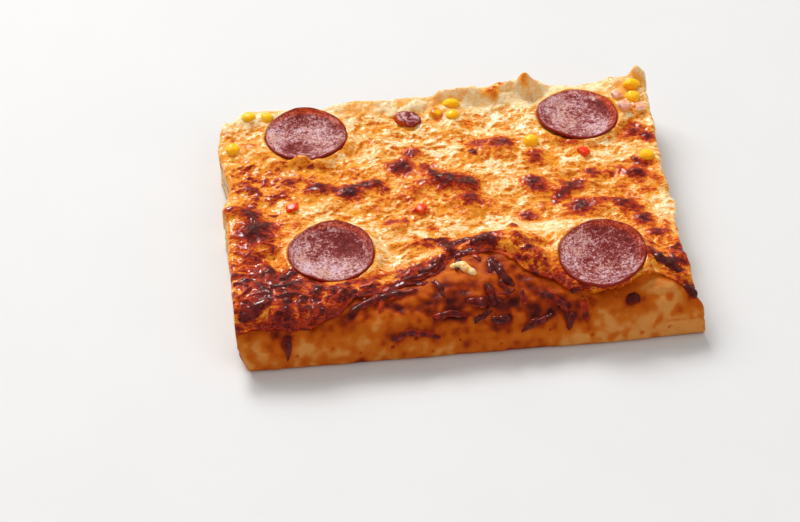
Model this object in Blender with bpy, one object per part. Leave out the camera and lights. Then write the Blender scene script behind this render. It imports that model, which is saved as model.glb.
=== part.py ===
"""A rectangular piece of tray-baked pepperoni pizza, cut on three sides.

Metres, +Z up. X runs along the thick bread rim, which faces -Y, and the origin
is at the middle of the flat underside. Lengths in the shape functions are in millimetres;
the functions that make a mesh turn them into metres.
"""
import math
import random

import bmesh
import bpy
from mathutils import Matrix, Vector, noise
from mathutils.geometry import delaunay_2d_cdt

MM = 0.001
SEED = 7

# Plan of the slice, in millimetres
HALF_WIDTH = 101.0
FRONT_Y = -86.0
BACK_Y = 79.0
LEFT_LEAN = 0.027
RIGHT_LEAN = 0.065
STATION = 6.0
CUT_START = 9.0
CORNER_DRAW = 5.5

# Stations that catch the two raised tips of the back edge, and the room kept about a peak's point
BACK_TIPS = (42.4, 45.7, 97.0, 99.4)
TIP_ROOM = 2.4
EDGE_ROOM = 1.0

# Bread: the thick rim along the front and the flat base behind it
RIM_POWER = 2.4
RIM_CREST = 20.5
RIM_CREST_Y = -66.0
RIM_TOP_RING = 3.0
BASE_TOP = 12.0
BASE_RUN = 22.0
TUCK = 1.6
TUCK_HEIGHT = 2.5
RING_FRACTIONS = (0.0, 0.13, 0.4, 0.7, 0.9, 1.0)

# Sauce and cheese over the bread
GAP = 0.3
SAUCE_THICK = 1.2
SAUCE_FRONT_Y = -40.0
SAUCE_SHRINK = 0.25
CHEESE_EDGE = 1.2
CHEESE_FULL = 5.6
CHEESE_RUN = 24.0
CHEESE_OVERHANG = 0.15
CUT_ROUNDING = 1.1
FRONT_ROUNDING = 1.3
CHEESE_GRID = 4.3
BASE_GRID = 12.0
RIM_GRID = 5.0
EDGE_STEP = 5.5
SAUCE_STEP = 9.0
WAVE_HEIGHT = 1.0
WAVE_LENGTH = 14.0

# Pepperoni slices
SLICE_RADIUS = 19.0
SLICE_THICK = 1.8
SLICE_SEGMENTS = 22
SLICE_RINGS = (0.0, 0.42, 0.74, 0.93, 1.0)
SEAT_RING = 0.72 * SLICE_RADIUS
SEAT_SAMPLES = 12
DISH_MARGIN = 1.2
DISH_FADE = 5.0

# Small toppings
KERNEL = (4.2, 3.5, 3.0)
PEPPER = (6.0, 4.6, 3.4)
CHIP = (6.4, 5.3, 2.2)
SOCKET_GAP = 0.42
BLOCK_BEVEL = 0.7
SHRED_STEP = 4.0
SHRED_SECTION = ((-1.0, -0.55), (-0.8, 0.55), (0.0, 1.0), (0.8, 0.55), (1.0, -0.55))

# The cheese rises from a small topping's socket at most this fast, up to NEST of its half size
NEST = 1.6
BRIM_RISE = 8.0

# Front edge of the cheese: x, y, from the left cut to the right cut
CHEESE_FRONT = ((-103, -79), (-92, -79.5), (-80, -80), (-69, -78.5), (-58, -74), (-51, -66),
                (-38, -63.5), (-25, -61), (-14, -56), (-6, -47), (3, -44), (13, -47),
                (21, -54), (31, -62), (40, -70), (50, -76), (60, -77), (66, -74.5),
                (71, -70.5), (78, -67.5), (86, -70), (95, -75))

# Blisters and folds of the cheese: x, y, radius, height
BLISTERS = (
    (-19, 27, 6.5, 3.0), (-12, 38, 5.0, 1.8), (-8, 18, 5.0, 2.4), (-1, 12, 5.5, 3.2),
    (7, 8, 5.5, 3.0), (-60, 13, 5.0, 2.0), (-44, 11, 5.0, 2.2), (-34, 14, 4.5, 1.6),
    (-53, 3, 4.0, 1.4), (-91, -2, 5.0, 2.4), (-89, -16, 8.0, 3.2), (-88, -28, 6.0, 2.0),
    (-28, -18, 5.0, 2.0), (-16, 9, 6.0, 2.0), (6, -3, 5.5, 2.4), (21, 38, 5.0, 2.2),
    (28, 33, 5.5, 2.4), (14, 33, 3.0, 1.0), (37, 5, 4.5, 1.8), (44, 26, 5.5, 2.2),
    (56, 17, 4.5, 1.6), (53, 0, 6.0, 2.0), (66, 9, 4.5, 1.8), (86, 9, 4.0, 2.0),
    (91, 41, 4.0, 1.4), (77, -14, 7.0, 2.6), (64, -14, 6.0, 2.2), (83, -25, 5.0, 1.6),
    (86, -37, 4.5, 1.8), (95, -44, 4.5, 1.8), (92, -57, 5.0, 2.0), (29, 74.5, 4.0, 2.4),
    (32, 78, 10.0, 3.8), (40, 79.5, 5.5, 4.4), (45.9, 79.6, 3.5, 8.4), (51.5, 79.5, 5.0, 4.8),
    (99.4, 79.6, 3.0, 5.6), (102, 80, 6.0, 3.0), (90, 78, 8.0, 2.0), (62, 79, 6.0, 1.0),
    (6.5, 78.5, 4.6, 5.2), (14, 79, 5.0, 4.4), (21, 79, 5.5, 3.8), (-8, 77.5, 8.0, 2.6),
    (-21, 77, 8.0, 2.4), (-38, 76, 9.0, 3.0), (-84, 73, 7.0, 1.4), (-83, 16, 7.0, 1.4),
    (-88, 51, 5.0, 1.4), (-77, 38, 9.0, 1.4), (-88, -45, 6.0, 1.6), (-77, -60, 6.0, 1.6),
    (-14, -42, 6.0, 1.8), (-26, -50, 5.0, 1.4), (22, -45, 6.0, 2.0), (32, -53, 5.0, 1.6),
    (95, -12, 6.0, 1.4), (97, 20, 4.0, 1.0), (-99, 6, 5.0, 1.6), (-66, 74, 6.0, 1.2),
    (-30, 66, 6.0, 1.2), (4, 52, 6.0, 1.2), (44, 54, 5.0, 1.2), (-44, 32, 5.0, 1.2))

# Hollows where the cheese has sunk: x, y, radius, depth
HOLLOWS = (
    (-36, -8, 9.0, 1.2), (8, -22, 15.0, 1.2), (-12, -22, 10.0, 1.0), (-50, 26, 7.0, 0.9),
    (12, 48, 9.0, 0.8), (36, -20, 12.0, 1.0), (-72, 26, 6.0, 0.8), (62, 38, 7.0, 0.8),
    (-20, 48, 8.0, 0.8), (82, 46, 6.0, 0.8), (25, 16, 7.0, 0.9), (-92, 30, 6.0, 0.8))

# Pepperoni: name, x, y, cupping, height of the curl beyond the cup, direction of the curl
SLICES = (
    ("pepperoni_back_left", -61.0, 54.0, 1.2, 3.0, 82.0),
    ("pepperoni_front_left", -58.0, -35.0, 1.6, 2.0, 65.0),
    ("pepperoni_back_right", 67.2, 55.0, 1.4, 1.8, 190.0),
    ("pepperoni_front_right", 58.0, -55.0, 1.3, 1.8, 45.0))

# Corn kernels: x, y, turn, lift of the kernel's middle above the cheese
KERNELS = (
    (42, 37.5, 70, 0.6), (9.4, 71.8, 0, 0.7), (9, 63.2, 85, 0.5), (1.4, 66.6, 80, 0.2),
    (-86.2, 70.4, 88, 0.8), (-78.2, 70.2, 95, 0.2), (-95.6, 48.5, 85, 0.5), (96.2, 72.6, 5, 0.9),
    (95.4, 64.8, 90, 0.6), (93.5, 20, 100, 0.5))

# Ham cubes: x, y, turn, edge length, lift
HAM = ((87.8, 66, 20, 4.6, 0.8), (89.8, 57.2, 25, 5.6, 0.9), (97, 56.6, 10, 4.4, 0.8))

# Red pepper dice: x, y, turn, lift
PEPPERS = ((-72, 0, 10, 0.6), (-15, -7, 60, 0.6), (65, 27, 120, 0.4))

# The browned chip of sausage: x, y, turn, lift
CHIPS = ((-12.5, 62.5, -35, 0.9),)

# Baked shreds of cheese: carrier, half width, height, then the points of the run
SHREDS = (
    ("cheese", 2.6, 1.8, ((-100, -74), (-95, -72), (-88, -66))),
    ("crust", 1.5, 1.3, ((-81.5, -83), (-82, -84.8))),
    ("cheese", 1.9, 1.6, ((-80, -64), (-80.5, -70), (-81, -76))),
    ("cheese", 2.0, 1.5, ((-73, -73), (-69, -74.5), (-65, -73))),
    ("crust", 1.5, 1.6, ((-54, -75), (-48, -70.5), (-40, -68), (-32, -66.3), (-25, -65))),
    ("cheese", 1.5, 1.6, ((-32, -55), (-26, -52), (-20, -54), (-13, -50))),
    ("cheese", 1.2, 1.2, ((-30, -58), (-23, -57.5), (-18, -55.5))),
    ("cheese", 2.2, 2.4, ((-7, -38), (-1, -34), (4, -35))),
    ("cheese", 1.9, 2.0, ((3, -39.5), (8, -38), (13, -42))),
    ("cheese", 1.6, 1.4, ((-89, -38), (-87, -47), (-90, -57))),
    ("cheese", 1.5, 1.3, ((-81, -46), (-79, -56))),
    ("crust", 1.7, 1.8, ((-4.5, -51.5), (-1.5, -54), (3, -59))),
    ("crust", 1.5, 1.6, ((10, -52.5), (13, -59), (17, -66))),
    ("crust", 1.4, 1.5, ((6, -65), (7, -69.5), (8, -74))),
    ("crust", 1.9, 1.3, ((-2, -72.5), (4, -73.5))),
    ("crust", 1.7, 1.4, ((7, -80), (13, -80.4))),
    ("crust", 1.2, 1.2, ((-18, -78), (-11, -77), (-5, -78))),
    ("crust", 1.2, 1.2, ((-37, -84), (-30, -82.8), (-24, -83), (-17, -84))),
    ("crust", 1.2, 1.3, ((19, -83.4), (25, -81.5), (32, -79.5))),
    ("crust", 1.4, 1.3, ((30, -70.5), (35, -73.5), (40, -76))),
    ("crust", 1.5, 1.4, ((41, -80), (39.5, -83))),
    ("crust", 2.2, 1.9, ((70, -77.5), (73, -78))),
    ("cheese", 2.4, 2.0, ((81, -60), (86, -63), (90, -65))),
    ("crust", 2.5, 2.1, ((91, -78), (93.5, -79))))

COLOURS = {
    "crust": ((0.66, 0.40, 0.17), 0.62),
    "sauce": ((0.55, 0.10, 0.03), 0.45),
    "cheese": ((0.86, 0.62, 0.26), 0.42),
    "pepperoni": ((0.32, 0.08, 0.07), 0.4),
    "corn": ((0.93, 0.66, 0.06), 0.32),
    "ham": ((0.86, 0.50, 0.44), 0.45),
    "pepper": ((0.76, 0.09, 0.02), 0.3),
    "chip": ((0.27, 0.09, 0.08), 0.5),
}


def ramp(value):
    """Rise smoothly from 0 to 1 as value goes from 0 to 1."""
    value = min(max(value, 0.0), 1.0)
    return value * value * (3.0 - 2.0 * value)


def bump(distance, radius):
    """Bell curve, 1 at the middle, near 0 at 1.5 radii."""
    return math.exp(-(distance / radius) ** 2)


def wave(x, y, length, offset):
    """Smooth uneven relief from -1 to 1."""
    return noise.noise(Vector((x / length, y / length, offset))) * 1.6


def front_y(x):
    """Front foot of the rim, which swings back a little towards the right."""
    return FRONT_Y + 0.00022 * max(x - 20.0, 0.0) ** 2 + 0.35 * wave(x, 0.0, 26.0, 1.5)


def back_y(x):
    """Cut edge at the back, torn a little shorter at its left end."""
    torn = 5.4 * ramp((-89.0 - x) / 4.0) - 1.5 * bump(x + 81.0, 9.0)
    return BACK_Y + 0.03 * x + 1.6 * bump(x - 42.0, 16.0) - torn + 0.7 * wave(x, 0.0, 17.0, 4.5)


def left_x(y):
    """Cut edge on the left, with its bite and bulges."""
    notch = 2.4 * bump(y - 21.0, 8.0) - 2.0 * bump(y - 1.0, 5.0) - 2.4 * bump(y - 50.0, 8.0)
    return -HALF_WIDTH + LEFT_LEAN * y + notch + 0.6 * wave(0.0, y, 15.0, 7.5)


def right_x(y):
    """Cut edge on the right, with the rim's heel at the front."""
    heel = 6.5 * bump(y + 83.0, 11.0) + 1.6 * bump(y + 16.0, 7.0)
    return HALF_WIDTH - 2.8 + RIGHT_LEAN * y + heel + 0.6 * wave(0.0, y, 15.0, 9.5)


def crest_y(x):
    """Where the rim is highest; it lies farther back in the middle."""
    return RIM_CREST_Y + 24.0 * bump(x - 14.0, 30.0) + 22.0 * bump(x - 56.0, 24.0)


def crest_height(x):
    """Height of the rim along its crest."""
    swell = 3.0 * bump(x - 13.0, 26.0) + bump(x - 58.0, 20.0) + 1.6 * bump(x - 77.0, 12.0)
    return RIM_CREST + swell - 5.5 * ramp((x - 84.0) / 18.0) - ramp((-86.0 - x) / 16.0)


def crust_height(x, y):
    """Top of the bread: a rounded rim, then a slope down to the flat base."""
    crest = crest_y(x)
    height = crest_height(x)
    if y < crest:
        reach = min(max((crest - y) / (crest - front_y(x)), 0.0), 1.0)
        lumps = 0.5 * wave(x, y, 13.0, 2.5) * ramp((y - front_y(x)) / 12.0)
        return height * (1.0 - reach ** RIM_POWER) ** (1.0 / RIM_POWER) + lumps
    base = BASE_TOP + 2.5 * bump(math.hypot(x - 95.0, y - 78.0), 26.0) + 0.4 * wave(x, y, 30.0, 3.5)
    lumps = 0.5 * wave(x, y, 13.0, 2.5) * ramp((crest + 14.0 - y) / 14.0)
    return height + (base - height) * ramp((y - crest) / BASE_RUN) + lumps


def cheese_front(x):
    """Front edge of the cheese at x, read between its hand-placed points."""
    for (x0, y0), (x1, y1) in zip(CHEESE_FRONT, CHEESE_FRONT[1:]):
        if x <= x1:
            return y0 + (y1 - y0) * min(max((x - x0) / (x1 - x0), 0.0), 1.0)
    return CHEESE_FRONT[-1][1]


def sauce_front(x):
    """Front edge of the sauce, hidden well behind the cheese's own."""
    return max(SAUCE_FRONT_Y + 3.0 * wave(x, 0.0, 20.0, 11.5), cheese_front(x) + 9.0)


def sauce_lift(x, y):
    """Room that the sauce takes between bread and cheese."""
    return (SAUCE_THICK + GAP) * ramp((y - sauce_front(x) + 7.0) / 6.0)


def cheese_level(x, y):
    """Top of the cheese with its blisters and hollows, before any topping presses it."""
    inside = y - cheese_front(x)
    behind = y - max(cheese_front(x), crest_y(x) - 4.0)
    thick = CHEESE_EDGE + 0.8 * ramp(inside / 10.0)
    thick += (CHEESE_FULL - CHEESE_EDGE - 0.8) * ramp(behind / CHEESE_RUN)
    level = crust_height(x, y) + GAP + sauce_lift(x, y) + thick
    level += WAVE_HEIGHT * wave(x, y, WAVE_LENGTH, 5.5) * ramp(inside / 12.0)
    for bx, by, radius, height in BLISTERS:
        level += height * bump(math.hypot(x - bx, y - by), radius) * ramp(inside / 5.0)
    for hx, hy, radius, depth in HOLLOWS:
        level -= depth * bump(math.hypot(x - hx, y - hy), radius)
    return level


def slice_plane(cx, cy):
    """Mean height and slopes of the cheese under a slice, from a ring of samples."""
    samples = []
    for step in range(SEAT_SAMPLES):
        angle = math.tau * step / SEAT_SAMPLES
        height = cheese_level(cx + SEAT_RING * math.cos(angle), cy + SEAT_RING * math.sin(angle))
        samples.append((math.cos(angle), math.sin(angle), height))
    mean = sum(s[2] for s in samples) / SEAT_SAMPLES
    slope_x = 2.0 * sum(s[0] * s[2] for s in samples) / SEAT_SAMPLES / SEAT_RING
    slope_y = 2.0 * sum(s[1] * s[2] for s in samples) / SEAT_SAMPLES / SEAT_RING
    return mean, slope_x, slope_y


PLANES = {name: slice_plane(cx, cy) for name, cx, cy, *_ in SLICES}


def slice_under(name, cx, cy, cup, x, y):
    """Underside of a cupped slice where it rests on the cheese."""
    mean, slope_x, slope_y = PLANES[name]
    reach = math.hypot(x - cx, y - cy) / SLICE_RADIUS
    return mean - 0.4 * cup + cup * reach ** 2 + slope_x * (x - cx) + slope_y * (y - cy)


def turned(x, y, cx, cy, turn):
    """Offset of a point from a topping's middle, along the topping's own axes."""
    angle = math.radians(turn)
    dx = x - cx
    dy = y - cy
    return dx * math.cos(angle) + dy * math.sin(angle), dy * math.cos(angle) - dx * math.sin(angle)


def bowl_toppings():
    """Pieces with a round underside: middle, turn, half sizes and lift."""
    for x, y, turn, lift in KERNELS:
        yield x, y, turn, KERNEL, lift
    for x, y, turn, lift in CHIPS:
        yield x, y, turn, CHIP, lift


def pan_toppings():
    """Pieces with a flat underside: middle, radius of the flat spot, half height, lift."""
    for x, y, _, edge, lift in HAM:
        yield x, y, 0.72 * edge + 0.5, 0.5 * edge, lift
    for x, y, _, lift in PEPPERS:
        yield x, y, 0.5 * math.hypot(PEPPER[0], PEPPER[1]) + 0.5, 0.5 * PEPPER[2], lift


def cheese_height(x, y):
    """Top of the cheese, pressed down where slices and small toppings sit."""
    level = cheese_level(x, y)
    for name, cx, cy, cup, _, _ in SLICES:
        distance = math.hypot(x - cx, y - cy) - SLICE_RADIUS - DISH_MARGIN
        if distance < DISH_FADE:
            dish = slice_under(name, cx, cy, cup, x, y) - GAP
            level = dish + (level - dish) * ramp(distance / DISH_FADE)
    for cx, cy, turn, half, lift in bowl_toppings():
        u, v = turned(x, y, cx, cy, turn)
        reach = math.hypot(u / (half[0] + SOCKET_GAP), v / (half[1] + SOCKET_GAP))
        if reach < NEST:
            middle = cheese_level(cx, cy) + lift
            deep = (half[2] + SOCKET_GAP) * math.sqrt(max(1.0 - reach * reach, 0.0))
            level = min(level, middle - deep + BRIM_RISE * max(reach - 1.0, 0.0))
    for cx, cy, radius, half_height, lift in pan_toppings():
        reach = math.hypot(x - cx, y - cy) / radius
        if reach < NEST:
            brim = BRIM_RISE * max(reach - 1.01, 0.0)
            level = min(level, cheese_level(cx, cy) + lift - half_height - GAP + brim)
    return level


def outline():
    """Stations round the plan, anticlockwise from the front left corner.

    Each is x, y, the way out, and how much of the rim's nose it carries.
    """
    stations = []
    count = round(2 * HALF_WIDTH / STATION)
    left = left_x(FRONT_Y)
    right = right_x(FRONT_Y)
    for step in range(count + 1):
        x = left + (right - left) * step / count
        stations.append((x, front_y(x), 0.0, -1.0, 1.0))
    start = FRONT_Y + CUT_START
    count = round((BACK_Y - start) / STATION)
    for step in range(count):
        y = start + (back_y(HALF_WIDTH) - start) * step / count
        stations.append((right_x(y), y, 1.0, 0.0, 0.0))
    count = round(2 * HALF_WIDTH / STATION)
    left = left_x(BACK_Y)
    right = right_x(BACK_Y)
    even = [right + (left - right) * step / count for step in range(count)]
    clear = [x for x in even if all(abs(x - tip) > TIP_ROOM for tip in BACK_TIPS)]
    for x in sorted(clear + list(BACK_TIPS), reverse=True):
        stations.append((x, back_y(x), 0.0, 1.0, 0.0))
    count = round((BACK_Y - start) / STATION)
    for step in range(count + 1):
        y = back_y(left) + (start - back_y(left)) * step / count
        stations.append((left_x(y), y, -1.0, 0.0, 0.0))
    return stations


def nose(x, fraction):
    """Setback and height of the rim's front at a share of the top ring's height."""
    crest = crest_height(x)
    depth = crest_y(x) - front_y(x)
    top = crest * (1.0 - (1.0 - RIM_TOP_RING / depth) ** RIM_POWER) ** (1.0 / RIM_POWER)
    height = top * fraction
    inner = (1.0 - (height / crest) ** RIM_POWER) ** (1.0 / RIM_POWER)
    setback = depth * (1.0 - inner)
    return setback + TUCK * max(1.0 - height / TUCK_HEIGHT, 0.0) ** 2, height


def corner_undercut(x, y, fraction):
    """The dough's front left corner draws in towards its foot."""
    return CORNER_DRAW * (1.0 - fraction) * bump(math.hypot(x + HALF_WIDTH + 2.0, y - FRONT_Y), 9.0)


def crust_ring(stations, fraction):
    """Ring round the bread's outside at a share of its height."""
    ring = []
    for x, y, out_x, out_y, rim in stations:
        if rim:
            setback, height = nose(x, fraction)
            ring.append((x + corner_undercut(x, y, fraction), y + setback, height))
            continue
        height = crust_height(x, y) * fraction
        rough = 0.35 * wave(x + y, height * 2.0, 6.0, 8.5) - 0.3
        side_x = x + out_x * rough + corner_undercut(x, y, fraction)
        ring.append((side_x, y + out_y * rough, height))
    return ring


def inside(point, loop):
    """Even-odd test of a point against a closed loop."""
    x, y = point
    found = False
    for (x0, y0), (x1, y1) in zip(loop, loop[1:] + loop[:1]):
        if (y0 > y) != (y1 > y) and x < x0 + (y - y0) * (x1 - x0) / (y1 - y0):
            found = not found
    return found


def clearance(point, loop):
    """Distance from a point to the nearest loop point."""
    return min(math.hypot(point[0] - x, point[1] - y) for x, y in loop)


def hex_points(spacing, loop, taken, keep, jitter, rng):
    """Staggered grid inside a loop, clear of the points that are there already."""
    points = []
    row = 0
    y = FRONT_Y
    while y < BACK_Y + 8.0:
        x = -HALF_WIDTH - 6.0 + (row % 2) * 0.5 * spacing
        while x < HALF_WIDTH + 6.0:
            point = (x + rng.uniform(-jitter, jitter), y + rng.uniform(-jitter, jitter))
            if inside(point, loop) and clearance(point, taken) > keep:
                points.append(point)
            x += spacing
        y += spacing * math.sqrt(0.75)
        row += 1
    return points


def triangulate(loop, runs, extra):
    """Triangles of the area inside a loop, holding the runs' edges and the extra points."""
    coords = [Vector(p) for p in loop]
    edges = [(i, (i + 1) % len(loop)) for i in range(len(loop))]
    for run in runs:
        previous = None
        for item in run:
            if not isinstance(item, int):
                coords.append(Vector(item))
                item = len(coords) - 1
            if previous is not None:
                edges.append((previous, item))
            previous = item
    coords += [Vector(p) for p in extra]
    out = delaunay_2d_cdt(coords, edges, [], 1, 1e-6)
    points = [(p.x, p.y) for p in out[0]]
    triangles = [tuple(f) for f in out[2]]
    return points, triangles


def solid(name, verts, faces, finish):
    """One closed mesh from millimetre points."""
    mesh = bpy.data.meshes.new(name)
    mesh.from_pydata([(x * MM, y * MM, z * MM) for x, y, z in verts], [], faces)
    body = bmesh.new()
    body.from_mesh(mesh)
    bmesh.ops.triangulate(body, faces=body.faces[:])
    bmesh.ops.recalc_face_normals(body, faces=body.faces[:])
    body.to_mesh(mesh)
    body.free()
    mesh.shade_smooth()
    mesh.materials.append(material(finish))
    piece = bpy.data.objects.new(name, mesh)
    bpy.context.collection.objects.link(piece)
    return piece


def material(finish):
    """The material of a finish, made on first use."""
    found = bpy.data.materials.get(finish)
    if found:
        return found
    made = bpy.data.materials.new(finish)
    made.use_nodes = True
    shader = made.node_tree.nodes["Principled BSDF"]
    colour, roughness = COLOURS[finish]
    shader.inputs["Base Color"].default_value = (*colour, 1.0)
    shader.inputs["Roughness"].default_value = roughness
    shader.inputs["Metallic"].default_value = 0.0
    return made


def stitch(lower, upper, count):
    """Quads between two closed rings of equal length, given their first indices."""
    return [(lower + i, lower + (i + 1) % count, upper + (i + 1) % count, upper + i)
            for i in range(count)]


class Layout:
    """The plan that bread, sauce and cheese share, so that their faces stay parallel."""

    def __init__(self):
        rng = random.Random(SEED)
        self.stations = outline()
        self.loop = [(s[0], s[1]) for s in self.stations]
        top = crust_ring(self.stations, 1.0)
        self.top_loop = [(p[0], p[1]) for p in top]
        self.right = self.nearest(right_x(-74.0), -74.0)
        self.left = self.nearest(left_x(-74.0), -74.0)
        self.sauce_right = self.nearest(right_x(SAUCE_FRONT_Y), SAUCE_FRONT_Y)
        self.sauce_left = self.nearest(left_x(SAUCE_FRONT_Y), SAUCE_FRONT_Y)
        edge = [(x, cheese_front(x)) for x in self.between(self.left, self.right, EDGE_STEP)]
        inner = [(x, sauce_front(x)) for x in self.between(self.sauce_left, self.sauce_right,
                                                       SAUCE_STEP)]
        runs = [[self.left] + edge + [self.right], [self.sauce_left] + inner + [self.sauce_right]]
        taken = self.top_loop + edge + inner
        rim = [p for p in hex_points(RIM_GRID, self.top_loop, taken, 3.2, 0.3, rng)
               if p[1] < cheese_front(p[0])]
        extra = hex_points(BASE_GRID, self.top_loop, taken + rim, 5.0, 0.6, rng) + rim
        self.points, self.triangles = triangulate(self.top_loop, runs, extra)
        count = len(self.top_loop)
        self.edge = range(count, count + len(edge))
        start = count + len(edge)
        self.inner = range(start, start + len(inner))

    def nearest(self, x, y):
        """Outline station closest to a plan point."""
        return min(range(len(self.loop)), key=lambda i: math.hypot(self.loop[i][0] - x,
                                                                   self.loop[i][1] - y))

    def between(self, left, right, spacing):
        """Even x values between two stations, without the stations themselves."""
        x0 = self.loop[left][0]
        x1 = self.loop[right][0]
        count = round((x1 - x0) / spacing)
        return [x0 + (x1 - x0) * step / count for step in range(1, count)]

    def behind(self, front):
        """Triangles whose middle lies behind a front line."""
        kept = []
        for triangle in self.triangles:
            x = sum(self.points[i][0] for i in triangle) / 3.0
            y = sum(self.points[i][1] for i in triangle) / 3.0
            if y > front(x):
                kept.append(triangle)
        return kept

    def rim_loop(self, run, left, right):
        """Loop round the area behind a run: the run, then the cut sides."""
        return [left] + list(run) + list(range(right, left))


def make_crust(layout):
    """The bread: rings up its outside, a triangulated top and a flat underside."""
    rings = [crust_ring(layout.stations, fraction) for fraction in RING_FRACTIONS[:-1]]
    count = len(layout.stations)
    verts = []
    for ring in rings:
        verts += ring
    top = len(verts)
    for index, (x, y) in enumerate(layout.points):
        if index < count:
            verts.append(crust_ring([layout.stations[index]], 1.0)[0])
        else:
            verts.append((x, y, crust_height(x, y)))
    faces = []
    for level in range(len(rings)):
        faces += stitch(level * count, (level + 1) * count, count)
    faces += [tuple(top + i for i in triangle) for triangle in layout.triangles]
    foot = [(p[0], p[1]) for p in rings[0]]
    _, floor = triangulate(foot, [], [])
    faces += [tuple(reversed(triangle)) for triangle in floor]
    return solid("crust", verts, faces, "crust")


def layer_base(layout, index):
    """Height of the bread at a shared plan point."""
    if index < len(layout.stations):
        return crust_ring([layout.stations[index]], 1.0)[0][2]
    x, y = layout.points[index]
    return crust_height(x, y)


def push_out(layout, index, amount):
    """A shared plan point, moved out through the cut side it lies on."""
    x, y = layout.points[index]
    if index < len(layout.stations):
        _, _, out_x, out_y, rim = layout.stations[index]
        if not rim:
            return x + out_x * amount, y + out_y * amount
    return x, y


def make_sauce(layout):
    """A thin even layer between bread and cheese, from near the rim to the cuts."""
    triangles = layout.behind(lambda x: sauce_line(layout, x))
    used = sorted({i for triangle in triangles for i in triangle})
    place = {index: order for order, index in enumerate(used)}
    verts = []
    for lift in (GAP, GAP + SAUCE_THICK):
        for index in used:
            x, y = push_out(layout, index, -SAUCE_SHRINK)
            verts.append((x, y, layer_base(layout, index) + lift))
    faces = [tuple(place[i] for i in reversed(triangle)) for triangle in triangles]
    faces += [tuple(place[i] + len(used) for i in triangle) for triangle in triangles]
    loop = layout.rim_loop(layout.inner, layout.sauce_left, layout.sauce_right)
    for this, after in zip(loop, loop[1:] + loop[:1]):
        low = place[this]
        low_after = place[after]
        faces.append((low, low_after, low_after + len(used), low + len(used)))
    return solid("sauce", verts, faces, "sauce")


def sauce_line(layout, x):
    """Front line of the sauce, straight between its shared plan points."""
    return line_at([layout.sauce_left] + list(layout.inner) + [layout.sauce_right], layout, x)


def cheese_line(layout, x):
    """Front line of the cheese, straight between its shared plan points."""
    return line_at([layout.left] + list(layout.edge) + [layout.right], layout, x)


def line_at(run, layout, x):
    """Y of a run of shared plan points at x."""
    points = [layout.points[i] for i in run]
    for (x0, y0), (x1, y1) in zip(points, points[1:]):
        if x <= x1:
            return y0 + (y1 - y0) * min(max((x - x0) / (x1 - x0), 0.0), 1.0)
    return points[-1][1]


def ring_points(cx, cy, turn, half_x, half_y, shares, counts):
    """Rings of points about a topping, each a share of its half sizes."""
    angle = math.radians(turn)
    points = []
    for share, count in zip(shares, counts):
        for step in range(count):
            around = math.tau * (step + 0.5 * (count % 2)) / count
            u = half_x * share * math.cos(around)
            v = half_y * share * math.sin(around)
            points.append((cx + u * math.cos(angle) - v * math.sin(angle),
                           cy + u * math.sin(angle) + v * math.cos(angle)))
    return points


def socket_points():
    """Plan points that shape the cheese under the toppings."""
    points = []
    for _, cx, cy, _, _, _ in SLICES:
        reach = SLICE_RADIUS + DISH_MARGIN
        points += ring_points(cx, cy, 0.0, reach, reach, (0.5, 0.99), (10, 28))
    for cx, cy, turn, half, _ in bowl_toppings():
        wide = half[0] + SOCKET_GAP
        deep = half[1] + SOCKET_GAP
        points += [(cx, cy)] + ring_points(cx, cy, turn, wide, deep, (0.6, 0.9, 1.14), (6, 10, 10))
    pans = [(cx, cy, radius) for cx, cy, radius, _, _ in pan_toppings()]
    for cx, cy, radius in pans:
        points += [(cx, cy)] + ring_points(cx, cy, 0.0, radius, radius, (1.0,), (8,))
    for cx, cy, radius in pans:
        brim = ring_points(cx, cy, 0.0, radius, radius, (1.25,), (9,))
        points += [p for p in brim
                   if all(math.hypot(p[0] - x, p[1] - y) > 1.2 * r for x, y, r in pans)]
    return points


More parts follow.
